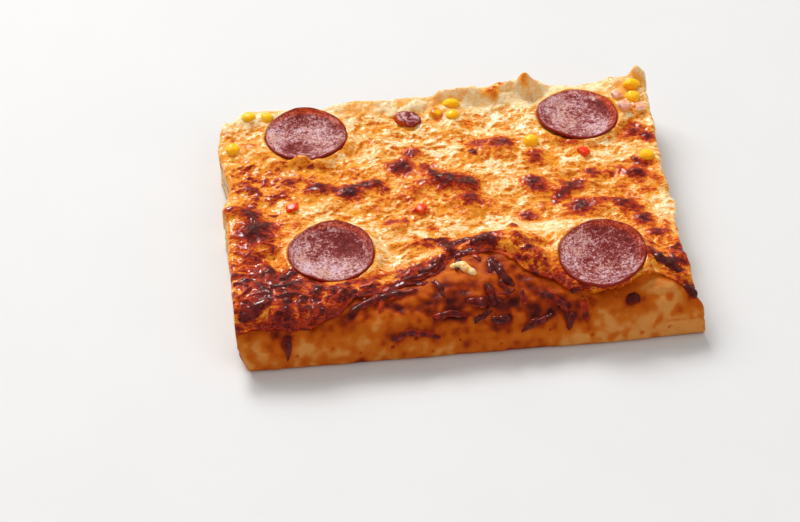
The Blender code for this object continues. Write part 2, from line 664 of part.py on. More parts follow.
def make_cheese(layout):
    """The cheese: an underside parallel to the bread, a soft edge and a lumpy top."""
    rng = random.Random(SEED + 1)
    triangles = layout.behind(lambda x: cheese_line(layout, x))
    used = sorted({i for triangle in triangles for i in triangle})
    place = {index: order for order, index in enumerate(used)}
    sauce_used = {i for t in layout.behind(lambda x: sauce_line(layout, x)) for i in t}
    verts = []
    for index in used:
        x, y = push_out(layout, index, CHEESE_OVERHANG)
        lift = GAP
        if index in sauce_used:
            lift += SAUCE_THICK + GAP
        verts.append((x, y, layer_base(layout, index) + lift))
    faces = [tuple(place[i] for i in reversed(triangle)) for triangle in triangles]
    loop = layout.rim_loop(layout.edge, layout.left, layout.right)
    count = len(loop)
    side = [verts[place[i]] for i in loop]
    middle = len(verts)
    top_loop = []
    for order, (x, y, low) in enumerate(side):
        before = Vector(side[order - 1][:2])
        after = Vector(side[(order + 1) % count][:2])
        along = (after - before).normalized()
        inward = Vector((-along.y, along.x))
        on_cut = loop[order] < len(layout.stations) and loop[order] not in (layout.left, layout.right)
        inset = CUT_ROUNDING if on_cut else FRONT_ROUNDING
        top_x = x + inward.x * inset
        top_y = y + inward.y * inset
        high = max(cheese_height(top_x, top_y), low + 0.9)
        bulge = 0.5 + 0.4 * wave(x, y, 9.0, 6.5) if on_cut else 0.35
        share = 0.62 if on_cut else 0.55
        verts.append((x - inward.x * bulge, y - inward.y * bulge, low + (high - low) * share))
        top_loop.append((top_x, top_y, high))
    top = len(verts)
    verts += top_loop
    plan = [(p[0], p[1]) for p in top_loop]
    sockets = [p for p in socket_points() if inside(p, plan) and clearance(p, plan) > 1.0]
    apexes = [(b[0], b[1]) for b in BLISTERS if inside(b[:2], plan)
              and clearance(b[:2], plan) > EDGE_ROOM and clearance(b[:2], sockets) > TIP_ROOM]
    taken = plan + sockets + apexes
    grid = hex_points(CHEESE_GRID, plan, taken, 0.62 * CHEESE_GRID, 0.5, rng)
    points, top_triangles = triangulate(plan, [], sockets + apexes + grid)
    verts += [(x, y, cheese_height(x, y)) for x, y in points[count:]]
    for this in range(count):
        after = (this + 1) % count
        faces.append((place[loop[this]], place[loop[after]], middle + after, middle + this))
    faces += stitch(middle, top, count)
    faces += [tuple(top + i for i in triangle) for triangle in top_triangles]
    return solid("cheese", verts, faces, "cheese")


def make_slice(name, cx, cy, cup, curl, toward):
    """One cupped slice with a wavy edge that curls up on one side."""
    angle = math.radians(toward)
    verts = []
    for side in (0, 1):
        for share in SLICE_RINGS:
            for step in range(SLICE_SEGMENTS if share else 1):
                around = math.tau * step / SLICE_SEGMENTS
                edge = SLICE_RADIUS * (1.0 + 0.014 * math.sin(3.0 * around + cx))
                trim = 0.97 if side and share == 1.0 else 1.0
                x = cx + edge * share * trim * math.cos(around)
                y = cy + edge * share * trim * math.sin(around)
                lean = max(math.cos(around - angle), 0.0) ** 1.5
                lift = curl * lean * share ** 4 + 0.25 * share ** 2 * (1.0 + math.sin(5.0 * around))
                thick = SLICE_THICK * (1.0 if share < 1.0 else 0.72)
                z = slice_under(name, cx, cy, cup, x, y) + lift + side * thick
                verts.append((x, y, z))
    half = 1 + (len(SLICE_RINGS) - 1) * SLICE_SEGMENTS
    faces = []
    for side in (0, 1):
        start = side * half
        fan = [(start, start + 1 + i, start + 1 + (i + 1) % SLICE_SEGMENTS)
               for i in range(SLICE_SEGMENTS)]
        for ring in range(len(SLICE_RINGS) - 2):
            fan += stitch(start + 1 + ring * SLICE_SEGMENTS,
                          start + 1 + (ring + 1) * SLICE_SEGMENTS, SLICE_SEGMENTS)
        faces += fan if side else [tuple(reversed(f)) for f in fan]
    last = 1 + (len(SLICE_RINGS) - 2) * SLICE_SEGMENTS
    faces += stitch(last, half + last, SLICE_SEGMENTS)
    return solid(name, verts, faces, "pepperoni")


def place_piece(body, name, x, y, z, turn, tilt, finish):
    """Turn a millimetre-sized bmesh into a finished piece at its place."""
    mesh = bpy.data.meshes.new(name)
    body.to_mesh(mesh)
    body.free()
    mesh.shade_smooth()
    mesh.materials.append(material(finish))
    piece = bpy.data.objects.new(name, mesh)
    bpy.context.collection.objects.link(piece)
    piece.location = (x * MM, y * MM, z * MM)
    piece.rotation_euler = (math.radians(tilt), 0.0, math.radians(turn))
    return piece


def make_round(name, x, y, turn, half, lift, dent, finish):
    """A kernel or chip: a flattened ball with one end drawn in and a dented top."""
    body = bmesh.new()
    bmesh.ops.create_icosphere(body, subdivisions=2, radius=1.0)
    for vert in body.verts:
        u, v, w = vert.co
        narrow = 1.0 - 0.16 * max(u, 0.0) ** 2
        top = dent * max(w, 0.0) * bump(math.hypot(u, v), 0.6)
        vert.co = Vector((u * half[0], v * half[1] * narrow, (w - top) * half[2])) * MM
    z = cheese_level(x, y) + lift
    return place_piece(body, name, x, y, z, turn, 0.0, finish)


def make_block(name, x, y, turn, size, lift, finish):
    """A small cut cube with softened edges, resting flat."""
    body = bmesh.new()
    bmesh.ops.create_cube(body, size=1.0)
    bmesh.ops.scale(body, vec=Vector(size) * MM, verts=body.verts)
    for vert in body.verts:
        if vert.co.z > 0.0:
            vert.co.x *= 0.9
            vert.co.y *= 0.93
    bmesh.ops.bevel(body, geom=body.edges[:], offset=BLOCK_BEVEL * MM, segments=1, affect="EDGES",
                    profile=0.5, material=-1)
    z = cheese_level(x, y) + lift
    return place_piece(body, name, x, y, z, turn, 0.0, finish)


def surface_normal(surface, x, y):
    """Upward normal of a height function."""
    step = 0.4
    slope_x = (surface(x + step, y) - surface(x - step, y)) / (2.0 * step)
    slope_y = (surface(x, y + step) - surface(x, y - step)) / (2.0 * step)
    return Vector((-slope_x, -slope_y, 1.0)).normalized()


def shred_run(points, spacing):
    """Even steps along a run of plan points."""
    steps = []
    for (x0, y0), (x1, y1) in zip(points, points[1:]):
        count = max(1, round(math.hypot(x1 - x0, y1 - y0) / spacing))
        steps += [(x0 + (x1 - x0) * i / count, y0 + (y1 - y0) * i / count) for i in range(count)]
    return steps + [points[-1]]


def make_shred(order, carrier, half_width, height, points):
    """A low ridge of baked cheese, sunk a little into what carries it."""
    surface = crust_height if carrier == "crust" else cheese_height
    run = [Vector(p) for p in shred_run(points, SHRED_STEP)]
    verts = []
    for index, plan in enumerate(run):
        ahead = run[min(index + 1, len(run) - 1)] - run[max(index - 1, 0)]
        normal = surface_normal(surface, plan.x, plan.y)
        along = Vector((ahead.x, ahead.y, 0.0))
        along = (along - normal * along.dot(normal)).normalized()
        side = normal.cross(along)
        taper = 0.62 if index in (0, len(run) - 1) else 1.0 + 0.12 * math.sin(2.1 * index + order)
        middle = Vector((plan.x, plan.y, surface(plan.x, plan.y)))
        if index == 0:
            middle -= along * half_width
        if index == len(run) - 1:
            middle += along * half_width
        for across, up in SHRED_SECTION:
            rise = height * taper * up if up > 0.0 else up
            verts.append(tuple(middle + side * half_width * taper * across + normal * rise))
    wide = len(SHRED_SECTION)
    faces = []
    for index in range(len(run) - 1):
        for corner in range(wide):
            after = (corner + 1) % wide
            low = index * wide
            faces.append((low + corner, low + after, low + wide + after, low + wide + corner))
    faces.append(tuple(reversed(range(wide))))
    last = (len(run) - 1) * wide
    faces.append(tuple(last + corner for corner in range(wide)))
    return solid(f"shred_{order}", verts, faces, carrier)


def fuse_shreds(carrier_name, carrier):
    """Join every shred of one carrier to it with a single union."""
    group = bpy.data.collections.new(f"{carrier_name}_shreds")
    bpy.context.scene.collection.children.link(group)
    for order, (rests_on, half_width, height, points) in enumerate(SHREDS):
        if rests_on != carrier_name:
            continue
        shred = make_shred(order, rests_on, half_width, height, points)
        bpy.context.collection.objects.unlink(shred)
        group.objects.link(shred)
    union = carrier.modifiers.new("shreds", "BOOLEAN")
    union.operation = "UNION"
    union.operand_type = "COLLECTION"
    union.solver = "EXACT"
    union.collection = group
    bpy.context.view_layer.objects.active = carrier
    bpy.ops.object.modifier_apply(modifier=union.name)
    for shred in list(group.objects):
        bpy.data.objects.remove(shred)
    bpy.data.collections.remove(group)
    keep_largest(carrier)


def keep_largest(piece):
    """Drop loose scraps and sealed hollows: every shell but the one with most faces."""
    body = bmesh.new()
    body.from_mesh(piece.data)
    waiting = set(body.faces)
    shells = []
    while waiting:
        shell = {waiting.pop()}
        edge_of_shell = list(shell)
        while edge_of_shell:
            face = edge_of_shell.pop()
            for edge in face.edges:
                for other in edge.link_faces:
                    if other in waiting:
                        waiting.remove(other)
                        shell.add(other)
                        edge_of_shell.append(other)
        shells.append(shell)
    largest = max(shells, key=len)
    scraps = [face for shell in shells if shell is not largest for face in shell]
    bmesh.ops.delete(body, geom=scraps, context="FACES")
    bmesh.ops.triangulate(body, faces=body.faces[:])
    body.to_mesh(piece.data)
    body.free()


def stand_on_origin():
    """Shift every piece so that the middle of the underside of the whole is the origin."""
    bpy.context.view_layer.update()
    corners = [piece.matrix_world @ vert.co for piece in bpy.data.objects
               for vert in piece.data.vertices]
    lows = [min(c[axis] for c in corners) for axis in range(3)]
    highs = [max(c[axis] for c in corners) for axis in range(3)]
    shift = Vector((-(lows[0] + highs[0]) / 2, -(lows[1] + highs[1]) / 2, -lows[2]))
    for piece in bpy.data.objects:
        piece.data.transform(Matrix.Translation(piece.matrix_world.to_3x3().inverted() @ shift))


def main():
    """Build every piece of the slice."""
    for old in list(bpy.data.objects):
        bpy.data.objects.remove(old)
    layout = Layout()
    crust = make_crust(layout)
    fuse_shreds("crust", crust)
    make_sauce(layout)
    cheese = make_cheese(layout)
    fuse_shreds("cheese", cheese)
    for row in SLICES:
        make_slice(*row)
    for number, (x, y, turn, lift) in enumerate(KERNELS, 1):
        make_round(f"corn_kernel_{number}", x, y, turn, KERNEL, lift, 0.2, "corn")
    for number, (x, y, turn, lift) in enumerate(CHIPS, 1):
        make_round(f"sausage_chip_{number}", x, y, turn, CHIP, lift, 0.0, "chip")
    for number, (x, y, turn, edge, lift) in enumerate(HAM, 1):
        make_block(f"ham_cube_{number}", x, y, turn, (edge, edge, edge), lift, "ham")
    for number, (x, y, turn, lift) in enumerate(PEPPERS, 1):
        make_block(f"red_pepper_dice_{number}", x, y, turn, PEPPER, lift, "pepper")
    stand_on_origin()


main()
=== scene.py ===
"""Finished look of a rectangular pepperoni pizza slice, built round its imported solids.

The sheets of bread and cheese are laid out in millimetres about the plan's own
centre, and placed() turns them into metres about the middle of the underside.
"""
import math
import random

import bmesh
import bpy
import numpy as np
from bpy.props import FloatProperty, FloatVectorProperty, PointerProperty
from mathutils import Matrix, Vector, noise


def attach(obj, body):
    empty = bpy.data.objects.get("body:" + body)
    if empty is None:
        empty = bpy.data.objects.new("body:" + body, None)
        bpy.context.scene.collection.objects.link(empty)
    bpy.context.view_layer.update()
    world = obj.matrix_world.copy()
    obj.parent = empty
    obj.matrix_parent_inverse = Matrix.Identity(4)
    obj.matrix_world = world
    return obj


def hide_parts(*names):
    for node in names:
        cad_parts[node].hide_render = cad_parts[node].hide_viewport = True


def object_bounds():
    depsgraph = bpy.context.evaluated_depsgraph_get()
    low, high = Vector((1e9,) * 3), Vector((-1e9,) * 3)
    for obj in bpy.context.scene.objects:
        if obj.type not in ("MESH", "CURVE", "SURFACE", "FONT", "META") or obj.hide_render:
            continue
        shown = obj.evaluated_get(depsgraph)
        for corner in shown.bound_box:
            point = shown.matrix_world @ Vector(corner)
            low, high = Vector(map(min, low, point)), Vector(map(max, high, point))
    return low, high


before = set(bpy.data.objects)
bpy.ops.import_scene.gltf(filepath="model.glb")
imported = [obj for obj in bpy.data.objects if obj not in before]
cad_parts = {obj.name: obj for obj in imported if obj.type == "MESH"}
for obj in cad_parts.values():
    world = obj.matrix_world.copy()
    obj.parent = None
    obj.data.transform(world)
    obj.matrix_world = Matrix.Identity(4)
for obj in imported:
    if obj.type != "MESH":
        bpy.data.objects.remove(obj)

bl_info = {
    "name": "Pepperoni pizza slice",
    "version": (1, 0, 0),
    "blender": (4, 5, 0),
    "location": "View3D > Sidebar > Pizza",
    "description": "Builds the bread, cheese and toppings of a baked pizza slice",
    "category": "Add Mesh",
}

CAD_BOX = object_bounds()
MM = 0.001
PLAN_SHIFT = (-0.42892, 1.80996)

# Plan and height of the bread, in millimetres
HALF_WIDTH = 101.0
FRONT_Y = -86.0
BACK_Y = 79.0
LEFT_LEAN = 0.027
RIGHT_LEAN = 0.065
RIM_POWER = 2.4
RIM_CREST = 20.5
RIM_CREST_Y = -66.0
RIM_TOP_RING = 3.0
BASE_TOP = 12.0
BASE_RUN = 22.0
TUCK = 1.6
TUCK_HEIGHT = 2.5
CORNER_DRAW = 5.5
GAP = 0.3
SAUCE_THICK = 1.2
SAUCE_FRONT_Y = -40.0
CHEESE_EDGE = 1.2
CHEESE_FULL = 5.6
CHEESE_RUN = 24.0
CHEESE_TUCK = 2.6
CHEESE_FLOOR = 12.3
WAVE_HEIGHT = 1.0
WAVE_LENGTH = 14.0
SLICE_RADIUS = 19.0
SLICE_THICK = 1.8
SEAT_RING = 0.72 * SLICE_RADIUS
SEAT_SAMPLES = 12
DISH_FADE = 5.0
# Direction on the plan towards the light, used for the painted shade on the cheese
LIGHT_SIDE = (-0.43, 0.9)
KERNEL = (4.2, 3.5, 3.0)
PEPPER = (6.0, 4.6, 3.4)
CHIP = (6.4, 5.3, 2.2)
CORN_CLIMB_RADIUS = 5.4
PEPPER_CLIMB_RADIUS = 4.4
SHRED_SWELL = 1.2
SEEN_LEVEL = 19.0
SEEN_LEAN = (0.19, 1.18)

# How finely the pieces are divided
BREAD_RINGS = 24
CHEESE_RINGS = 9
SLICE_SEGMENTS = (220, 130)
TOPPING_SUBDIVISIONS = 5
STRAND_SIDES = 16
STRAND_STEP = 0.5
SLOPE_STEP = 0.5

# How far the sheets' borders stay inside the edges of the slice
BREAD_INSET = 0.3
CHEESE_INSET = 1.1
CHEESE_FRONT_INSET = 1.3

# Counts of the cheese's fine strands and curds, and where they may lie
STRAND_COUNT = 340
CURD_COUNT = 1700
STREWN_X = (-104.0, 104.0)
STREWN_Y = (-80.0, 84.0)

# Front edge of the cheese: x, y, from the left cut to the right cut
CHEESE_FRONT = ((-103, -79), (-92, -79.5), (-80, -80), (-69, -78.5), (-58, -74), (-51, -66),
                (-38, -63.5), (-25, -61), (-14, -56), (-6, -47), (3, -44), (13, -47),
                (21, -54), (31, -62), (40, -70), (50, -76), (60, -77), (66, -74.5),
                (71, -70.5), (78, -67.5), (86, -70), (95, -75))

# Blisters and folds of the cheese: x, y, radius, height
BLISTERS = (
    (-19, 27, 6.5, 3.0), (-12, 38, 5.0, 1.8), (-8, 18, 5.0, 2.4), (-1, 12, 5.5, 3.2),
    (7, 8, 5.5, 3.0), (-60, 13, 5.0, 2.0), (-44, 11, 5.0, 2.2), (-34, 14, 4.5, 1.6),
    (-53, 3, 4.0, 1.4), (-91, -2, 5.0, 2.4), (-89, -16, 8.0, 3.2), (-88, -28, 6.0, 2.0),
    (-28, -18, 5.0, 2.0), (-16, 9, 6.0, 2.0), (6, -3, 5.5, 2.4), (21, 38, 5.0, 2.2),
    (28, 33, 5.5, 2.4), (14, 33, 3.0, 1.0), (37, 5, 4.5, 1.8), (44, 26, 5.5, 2.2),
    (56, 17, 4.5, 1.6), (53, 0, 6.0, 2.0), (66, 9, 4.5, 1.8), (86, 9, 4.0, 2.0),
    (91, 41, 4.0, 1.4), (77, -14, 7.0, 2.6), (64, -14, 6.0, 2.2), (83, -25, 5.0, 1.6),
    (86, -37, 4.5, 1.8), (95, -44, 4.5, 1.8), (92, -57, 5.0, 2.0), (29, 74.5, 4.0, 2.4),
    (32, 78, 10.0, 3.8), (40, 79.5, 5.5, 4.4), (45.9, 79.6, 3.5, 8.4), (51.5, 79.5, 5.0, 4.8),
    (99.4, 79.6, 3.0, 5.6), (102, 80, 6.0, 3.0), (90, 78, 8.0, 2.0), (62, 79, 6.0, 1.0),
    (6.5, 78.5, 4.6, 5.2), (14, 79, 5.0, 4.4), (21, 79, 5.5, 3.8), (-8, 77.5, 8.0, 2.6),
    (-21, 77, 8.0, 2.4), (-38, 76, 9.0, 3.0), (-84, 73, 7.0, 1.4), (-83, 16, 7.0, 1.4),
    (-88, 51, 5.0, 1.4), (-77, 38, 9.0, 1.4), (-88, -45, 6.0, 1.6), (-77, -60, 6.0, 1.6),
    (-14, -42, 6.0, 1.8), (-26, -50, 5.0, 1.4), (22, -45, 6.0, 2.0), (32, -53, 5.0, 1.6),
    (95, -12, 6.0, 1.4), (97, 20, 4.0, 1.0), (-99, 6, 5.0, 1.6), (-66, 74, 6.0, 1.2),
    (-30, 66, 6.0, 1.2), (4, 52, 6.0, 1.2), (44, 54, 5.0, 1.2), (-44, 32, 5.0, 1.2))

# Hollows where the cheese has sunk: x, y, radius, depth
HOLLOWS = (
    (-36, -8, 9.0, 1.2), (8, -22, 15.0, 1.2), (-12, -22, 10.0, 1.0), (-50, 26, 7.0, 0.9),
    (12, 48, 9.0, 0.8), (36, -20, 12.0, 1.0), (-72, 26, 6.0, 0.8), (62, 38, 7.0, 0.8),
    (-20, 48, 8.0, 0.8), (82, 46, 6.0, 0.8), (25, 16, 7.0, 0.9), (-92, 30, 6.0, 0.8))

# Pepperoni: name, x, y, cupping, height of the curl beyond the cup, direction of the curl
SLICES = (
    ("pepperoni_back_left", -61.0, 54.0, 1.2, 3.0, 82.0),
    ("pepperoni_front_left", -58.0, -35.0, 1.6, 2.0, 65.0),
    ("pepperoni_back_right", 67.2, 55.0, 1.4, 1.8, 190.0),
    ("pepperoni_front_right", 58.0, -55.0, 1.3, 1.8, 45.0))

# Where the inside of each slice's curled edge glows, partly its oil and partly painted light
# through the thin edge: direction, strength
GLOWS = ((82.0, 1.0), (65.0, 0.7), (20.0, 0.9), (45.0, 0.75))

# Patches of a slice's face: slice, x and y from its middle, radius, darker above 0, paler below.
# The pale patches are partly painted sheen.
PATCHES = (
    (0, -14, 2, 7.0, -0.8), (0, -7, -8, 4.0, 1.0), (0, 1, -9, 3.0, 0.6), (0, 4, 2, 8.0, -0.35),
    (0, 16, 5, 3.5, 0.8), (0, -1, 13, 5.0, 0.5), (0, 8, -10, 5.0, -0.3), (0, -9, 6, 3.0, 0.4),
    (1, -12, -8, 8.0, -0.65), (1, 1, -12, 8.0, -0.6), (1, 8, 6, 7.5, 1.0), (1, -3, 11, 5.0, 0.5),
    (1, -8, -1, 2.2, 0.9), (1, 12, -4, 5.0, 0.2), (1, -13, 4, 4.0, -0.5), (1, 3, 1, 3.0, 0.6),
    # The second patch on the next line is a painted shadow under the pale fat bit at 9.5, 12
    (2, 14, 5, 6.0, 1.0), (2, 9, 10, 3.0, 0.8), (2, 5.6, -7, 1.5, 1.0), (2, -10, 7, 8.0, -0.5),
    (2, -8, -7, 7.0, -0.3), (2, 9.5, 12, 1.9, -2.4), (2, 7, -12, 6.0, -0.6), (2, -1, 4, 3.0, 0.3),
    (3, -14, 3, 6.0, -0.5), (3, 2, -1, 8.0, 0.35), (3, 13, 9, 6.0, 1.0), (3, 2, 15, 5.0, 0.8),
    (3, 0, -14, 7.0, -0.2), (3, 16, -2, 4.0, 0.5))

# Corn kernels: x, y, turn, lift of the kernel's middle above the cheese, browning
KERNELS = (
    (42, 37.5, 70, 0.6, 0.15), (9.4, 71.8, 0, 0.7, 0.0), (9, 63.2, 85, 0.5, 0.1),
    (1.4, 66.6, 80, 0.2, 0.85), (-86.2, 70.4, 88, 0.8, 0.0), (-78.2, 70.2, 95, 0.2, 0.1),
    (-95.6, 48.5, 85, 0.5, 0.1), (96.2, 72.6, 5, 0.9, 0.1), (95.4, 64.8, 90, 0.6, 0.2),
    (93.5, 20, 100, 0.5, 0.35))

# How far above each kernel's middle the cheese climbs it
COVERS = (0.9, 1.7, 1.6, 1.6, 1.8, 1.9, 1.6, 1.2, 1.4, 1.5)

# Places where the cheese laps over a slice's edge: x, y, radius, height
LAPS = ((-66.0, 36.6, 2.6, 3.2), (-63.0, 35.5, 1.8, 2.4), (54.0, 37.5, 1.8, 1.6))

# Browning along the cheese's front edge: x, browning
EDGE_BROWNING = ((-103, 0.74), (-90, 0.7), (-78, 0.84), (-64, 0.76), (-50, 0.82), (-20, 0.86),
                 (-4, 0.88), (9, 0.84), (20, 0.52), (36, 0.48), (43, 0.72), (52, 0.5), (66, 0.5),
                 (74, 0.48), (84, 0.44), (92, 0.76), (103, 0.6))

# Ham cubes: x, y, turn, edge length, lift
HAM = ((87.8, 66, 20, 4.6, 0.8), (89.8, 57.2, 25, 5.6, 0.9), (97, 56.6, 10, 4.4, 0.8))

# Red pepper dice: x, y, turn, lift
PEPPERS = ((-72, 0, 10, 0.6), (-15, -7, 60, 0.6), (65, 27, 120, 0.4))

# The browned chip of sausage: x, y, turn, lift
CHIPS = ((-12.5, 62.5, -35, 0.9),)

# Baked shreds of cheese: carrier, half width, height, browning, then the points of the run
SHREDS = (
    ("cheese", 2.6, 1.8, 0.92, ((-100, -74), (-95, -72), (-88, -66))),
    ("crust", 1.5, 1.3, 0.92, ((-81.5, -83), (-82, -84.8))),
    ("cheese", 1.9, 1.6, 0.95, ((-80, -64), (-80.5, -70), (-81, -76))),
    ("cheese", 2.0, 1.5, 0.85, ((-73, -73), (-69, -74.5), (-65, -73))),
    ("crust", 1.5, 1.6, 0.93, ((-54, -75), (-48, -70.5), (-40, -68), (-32, -66.3), (-25, -65))),
    ("cheese", 1.5, 1.6, 0.95, ((-32, -55), (-26, -52), (-20, -54), (-13, -50))),
    ("cheese", 1.2, 1.2, 0.85, ((-30, -58), (-23, -57.5), (-18, -55.5))),
    ("cheese", 2.2, 2.4, 0.95, ((-7, -38), (-1, -34), (4, -35))),
    ("cheese", 1.9, 2.0, 0.92, ((3, -39.5), (8, -38), (13, -42))),
    ("cheese", 1.6, 1.4, 0.72, ((-89, -38), (-87, -47), (-90, -57))),
    ("cheese", 1.5, 1.3, 0.78, ((-81, -46), (-79, -56))),
    ("crust", 1.7, 1.8, 0.16, ((-7, -52), (-3, -52.5), (1.5, -58))),
    ("crust", 1.5, 1.6, 0.95, ((10, -52.5), (13, -59), (17, -66))),
    ("crust", 1.4, 1.5, 0.97, ((6, -65), (7, -69.5), (8, -74))),
    ("crust", 1.9, 1.3, 0.86, ((-2, -72.5), (4, -73.5))),
    ("crust", 1.7, 1.4, 0.97, ((7, -80), (13, -80.4))),
    ("crust", 1.2, 1.2, 0.85, ((-18, -78), (-11, -77), (-5, -78))),
    ("crust", 1.2, 1.2, 0.88, ((-37, -84), (-30, -82.8), (-24, -83), (-17, -84))),
    ("crust", 1.2, 1.3, 0.93, ((19, -83.4), (25, -81.5), (32, -79.5))),
    ("crust", 1.4, 1.3, 0.93, ((30, -70.5), (35, -73.5), (40, -76))),
    ("crust", 1.5, 1.4, 0.9, ((41, -80), (39.5, -83))),
    ("crust", 2.2, 1.9, 0.93, ((67, -76), (69.5, -76.6))),
    ("cheese", 2.4, 2.0, 0.97, ((80, -58), (85, -61.5), (90, -66.5))),
    ("crust", 2.4, 2.1, 0.96, ((92.5, -73), (94.5, -75))))

# Browned spots of the cheese: x, y, radius, browning from 0 to 1
SPOTS = (
    (-60, 14, 6.0, 0.92), (-52, 12, 4.5, 0.75), (-45, 11, 6.0, 1.0), (-39, 15, 4.0, 0.95),
    (-33, 15, 4.0, 0.85), (-30, 10, 3.5, 0.7), (-20, 26, 6.8, 1.0), (-14, 37, 4.6, 0.9),
    (-8, 26, 4.2, 0.8), (-6, 19, 5.0, 0.9), (-1, 13, 7.5, 1.0), (8, 10, 6.5, 1.0),
    (-92, -1, 5.5, 1.05), (-89, -16, 9.0, 1.12), (-84, -13, 6.0, 1.0), (-94, -17, 5.0, 0.95),
    (-93, -24, 4.5, 0.85), (-91, -33, 4.5, 0.85), (-71, -12, 4.0, 0.6), (-29, -15, 4.2, 0.82),
    (-35, -2, 4.5, 0.5), (-16, 6, 9.0, 0.52), (-26, 4, 6.0, 0.48), (-81, 14, 9.5, 0.5),
    (-87, 17, 5.0, 0.48), (-74, 9, 4.5, 0.52), (-15, -34, 3.2, 0.8), (8, -1, 5.6, 0.95),
    (4, -5, 9.0, 0.56), (16, -4, 7.0, 0.5), (18, 40, 5.4, 0.78), (28, 37, 6.2, 0.82),
    (15, 34, 2.0, 0.98), (42, 25, 4.6, 0.86), (48, 24, 5.0, 0.42), (50, 14, 3.6, 0.5),
    (35, 8, 4.0, 0.55), (39, 6, 5.4, 0.94), (32, -15, 4.5, 0.86), (41, -10, 3.6, 0.6),
    (50, -2, 4.4, 1.0), (56, 3, 6.0, 1.0), (46, -7, 3.0, 0.85), (66, 11, 4.0, 0.97),
    (61, 38, 6.0, 0.6), (69, 31, 4.0, 0.5), (72, 12, 4.0, 0.6), (79, 12, 4.2, 0.6),
    (75, 11, 2.0, 0.8), (87, 9, 5.0, 0.97), (92, 15, 3.0, 0.8), (88, 17, 3.0, 0.8),
    (91, 42, 5.4, 0.84), (96, 37, 4.4, 0.76), (85, 38, 4.5, 0.5), (78, 2, 3.0, 0.6),
    (90, -3, 3.5, 0.7), (95, 3, 3.5, 0.6), (88, 4, 3.0, 0.6), (57, -14, 6.0, 0.95),
    (50, -17, 5.0, 0.6), (64, -13, 6.0, 0.66), (68, -10, 5.0, 0.7), (77, -12, 6.0, 0.98),
    (80, -17, 4.0, 0.85), (75, -20, 3.0, 0.75), (83, -25, 4.4, 0.95), (78, -28, 3.0, 0.6),
    (86, -36, 4.5, 0.82), (94, -44, 4.0, 0.55), (92, -53, 4.6, 0.92), (97, -60, 4.0, 0.6),
    (81, -50, 4.0, 0.6), (23, -44, 6.5, 0.56), (28, -50, 5.5, 0.58), (32, -56, 5.0, 0.56),
    (16, -39, 4.5, 0.54), (21, -52, 4.0, 0.6), (-6, -33, 4.0, 0.95), (2, -32, 4.5, 0.97),
    (10, -34, 5.0, 0.94), (6, -39, 5.0, 0.9), (38, -63, 5.0, 0.88), (45, -66, 5.0, 0.82),
    (58, -74, 6.0, 0.8), (33, -62, 4.0, 0.75), (29, 75, 3.0, 0.6), (2, 64, 4.0, 0.55),
    (15, 57, 3.4, 0.55), (21, 63, 2.4, 0.45), (33, 51, 2.2, 0.6), (44.6, 78.5, 2.2, 0.36),
    (34, 80, 1.8, 0.5), (26, 27, 2.0, 0.55), (-88, 51, 3.8, 0.55), (-90, 40, 2.4, 0.62),
    (-68, 38, 3.4, 0.6), (-47, 29, 3.0, 0.55), (-62, 30, 2.0, 0.9), (-80, -2, 1.8, 0.97),
    (-31, 47, 3.0, 0.5), (-22, 57, 4.0, 0.4), (-39, 40, 3.0, 0.42), (-33, 66, 3.0, 0.4),
    (-74, -60, 5.0, 0.78), (-84, -50, 5.0, 0.76), (-96, -54, 4.5, 0.82), (-92, -64, 6.0, 0.85),
    (-97, -70, 6.0, 0.9), (-85, -66, 4.5, 0.8), (-68, -68, 5.0, 0.85), (-60, -62, 5.0, 0.7),
    (-47, -56, 5.0, 0.78), (-41, -54, 4.0, 0.76), (-52, -62, 4.0, 0.7), (-30, -51, 4.0, 0.82),
    (-21, -50, 5.0, 0.92), (-12, -49, 4.0, 0.88), (-64, -52, 4.0, 0.7), (-97, -38, 4.0, 0.6),
    (-81, -40, 4.0, 0.5), (-99, -28, 3.0, 0.55), (98, -34, 3.0, 0.5), (-12, 10, 4.0, 0.68),
    (-24, -14, 3.5, 0.66), (-11, -20, 3.0, 0.6), (-20, -28, 2.6, 0.52), (-42, 4, 3.0, 0.6),
    (7, -38, 6.0, 0.7))

# Warmer zones of the cheese: x, y, radius, how much they raise the browning
WARM = (
    (-84, -62, 20, 0.58), (-72, -50, 14, 0.2), (-93, -38, 11, 0.24), (-80, 22, 22, 0.17),
    (-16, -22, 12, 0.07), (4, -24, 14, 0.05), (-97, -45, 13, 0.3), (-75, -60, 16, 0.16),
    (-52, -64, 13, 0.44), (-30, -55, 10, 0.38), (-93, -18, 15, 0.38), (26, -49, 12, 0.4),
    (7, -38, 10, 0.4), (44, -68, 12, 0.42), (60, -14, 14, 0.16), (78, -14, 12, 0.2),
    (90, -57, 12, 0.12), (-82, 13, 15, 0.24), (-16, 6, 15, 0.2), (8, 0, 16, 0.16),
    (-48, 14, 17, 0.16), (78, 10, 16, 0.14), (95, 5, 9, 0.14), (92, 40, 9, 0.1), (60, 38, 8, 0.24),
    (-95, 24, 13, 0.18), (-66, 28, 16, 0.13), (-30, -6, 10, 0.14), (22, 39, 12, 0.18),
    (36, 8, 12, 0.1), (92, 66, 12, 0.14), (-72, -3, 4, 0.2), (-15, -9, 4, 0.26), (65, 24, 4, 0.22),
    (10, 74, 10, 0.1), (-15, -36, 9, 0.24), (-40, 24, 14, 0.1), (-88, 45, 12, 0.08),
    (64, -60, 12, 0.2), (48, 20, 8, 0.12), (14, 60, 12, 0.06))

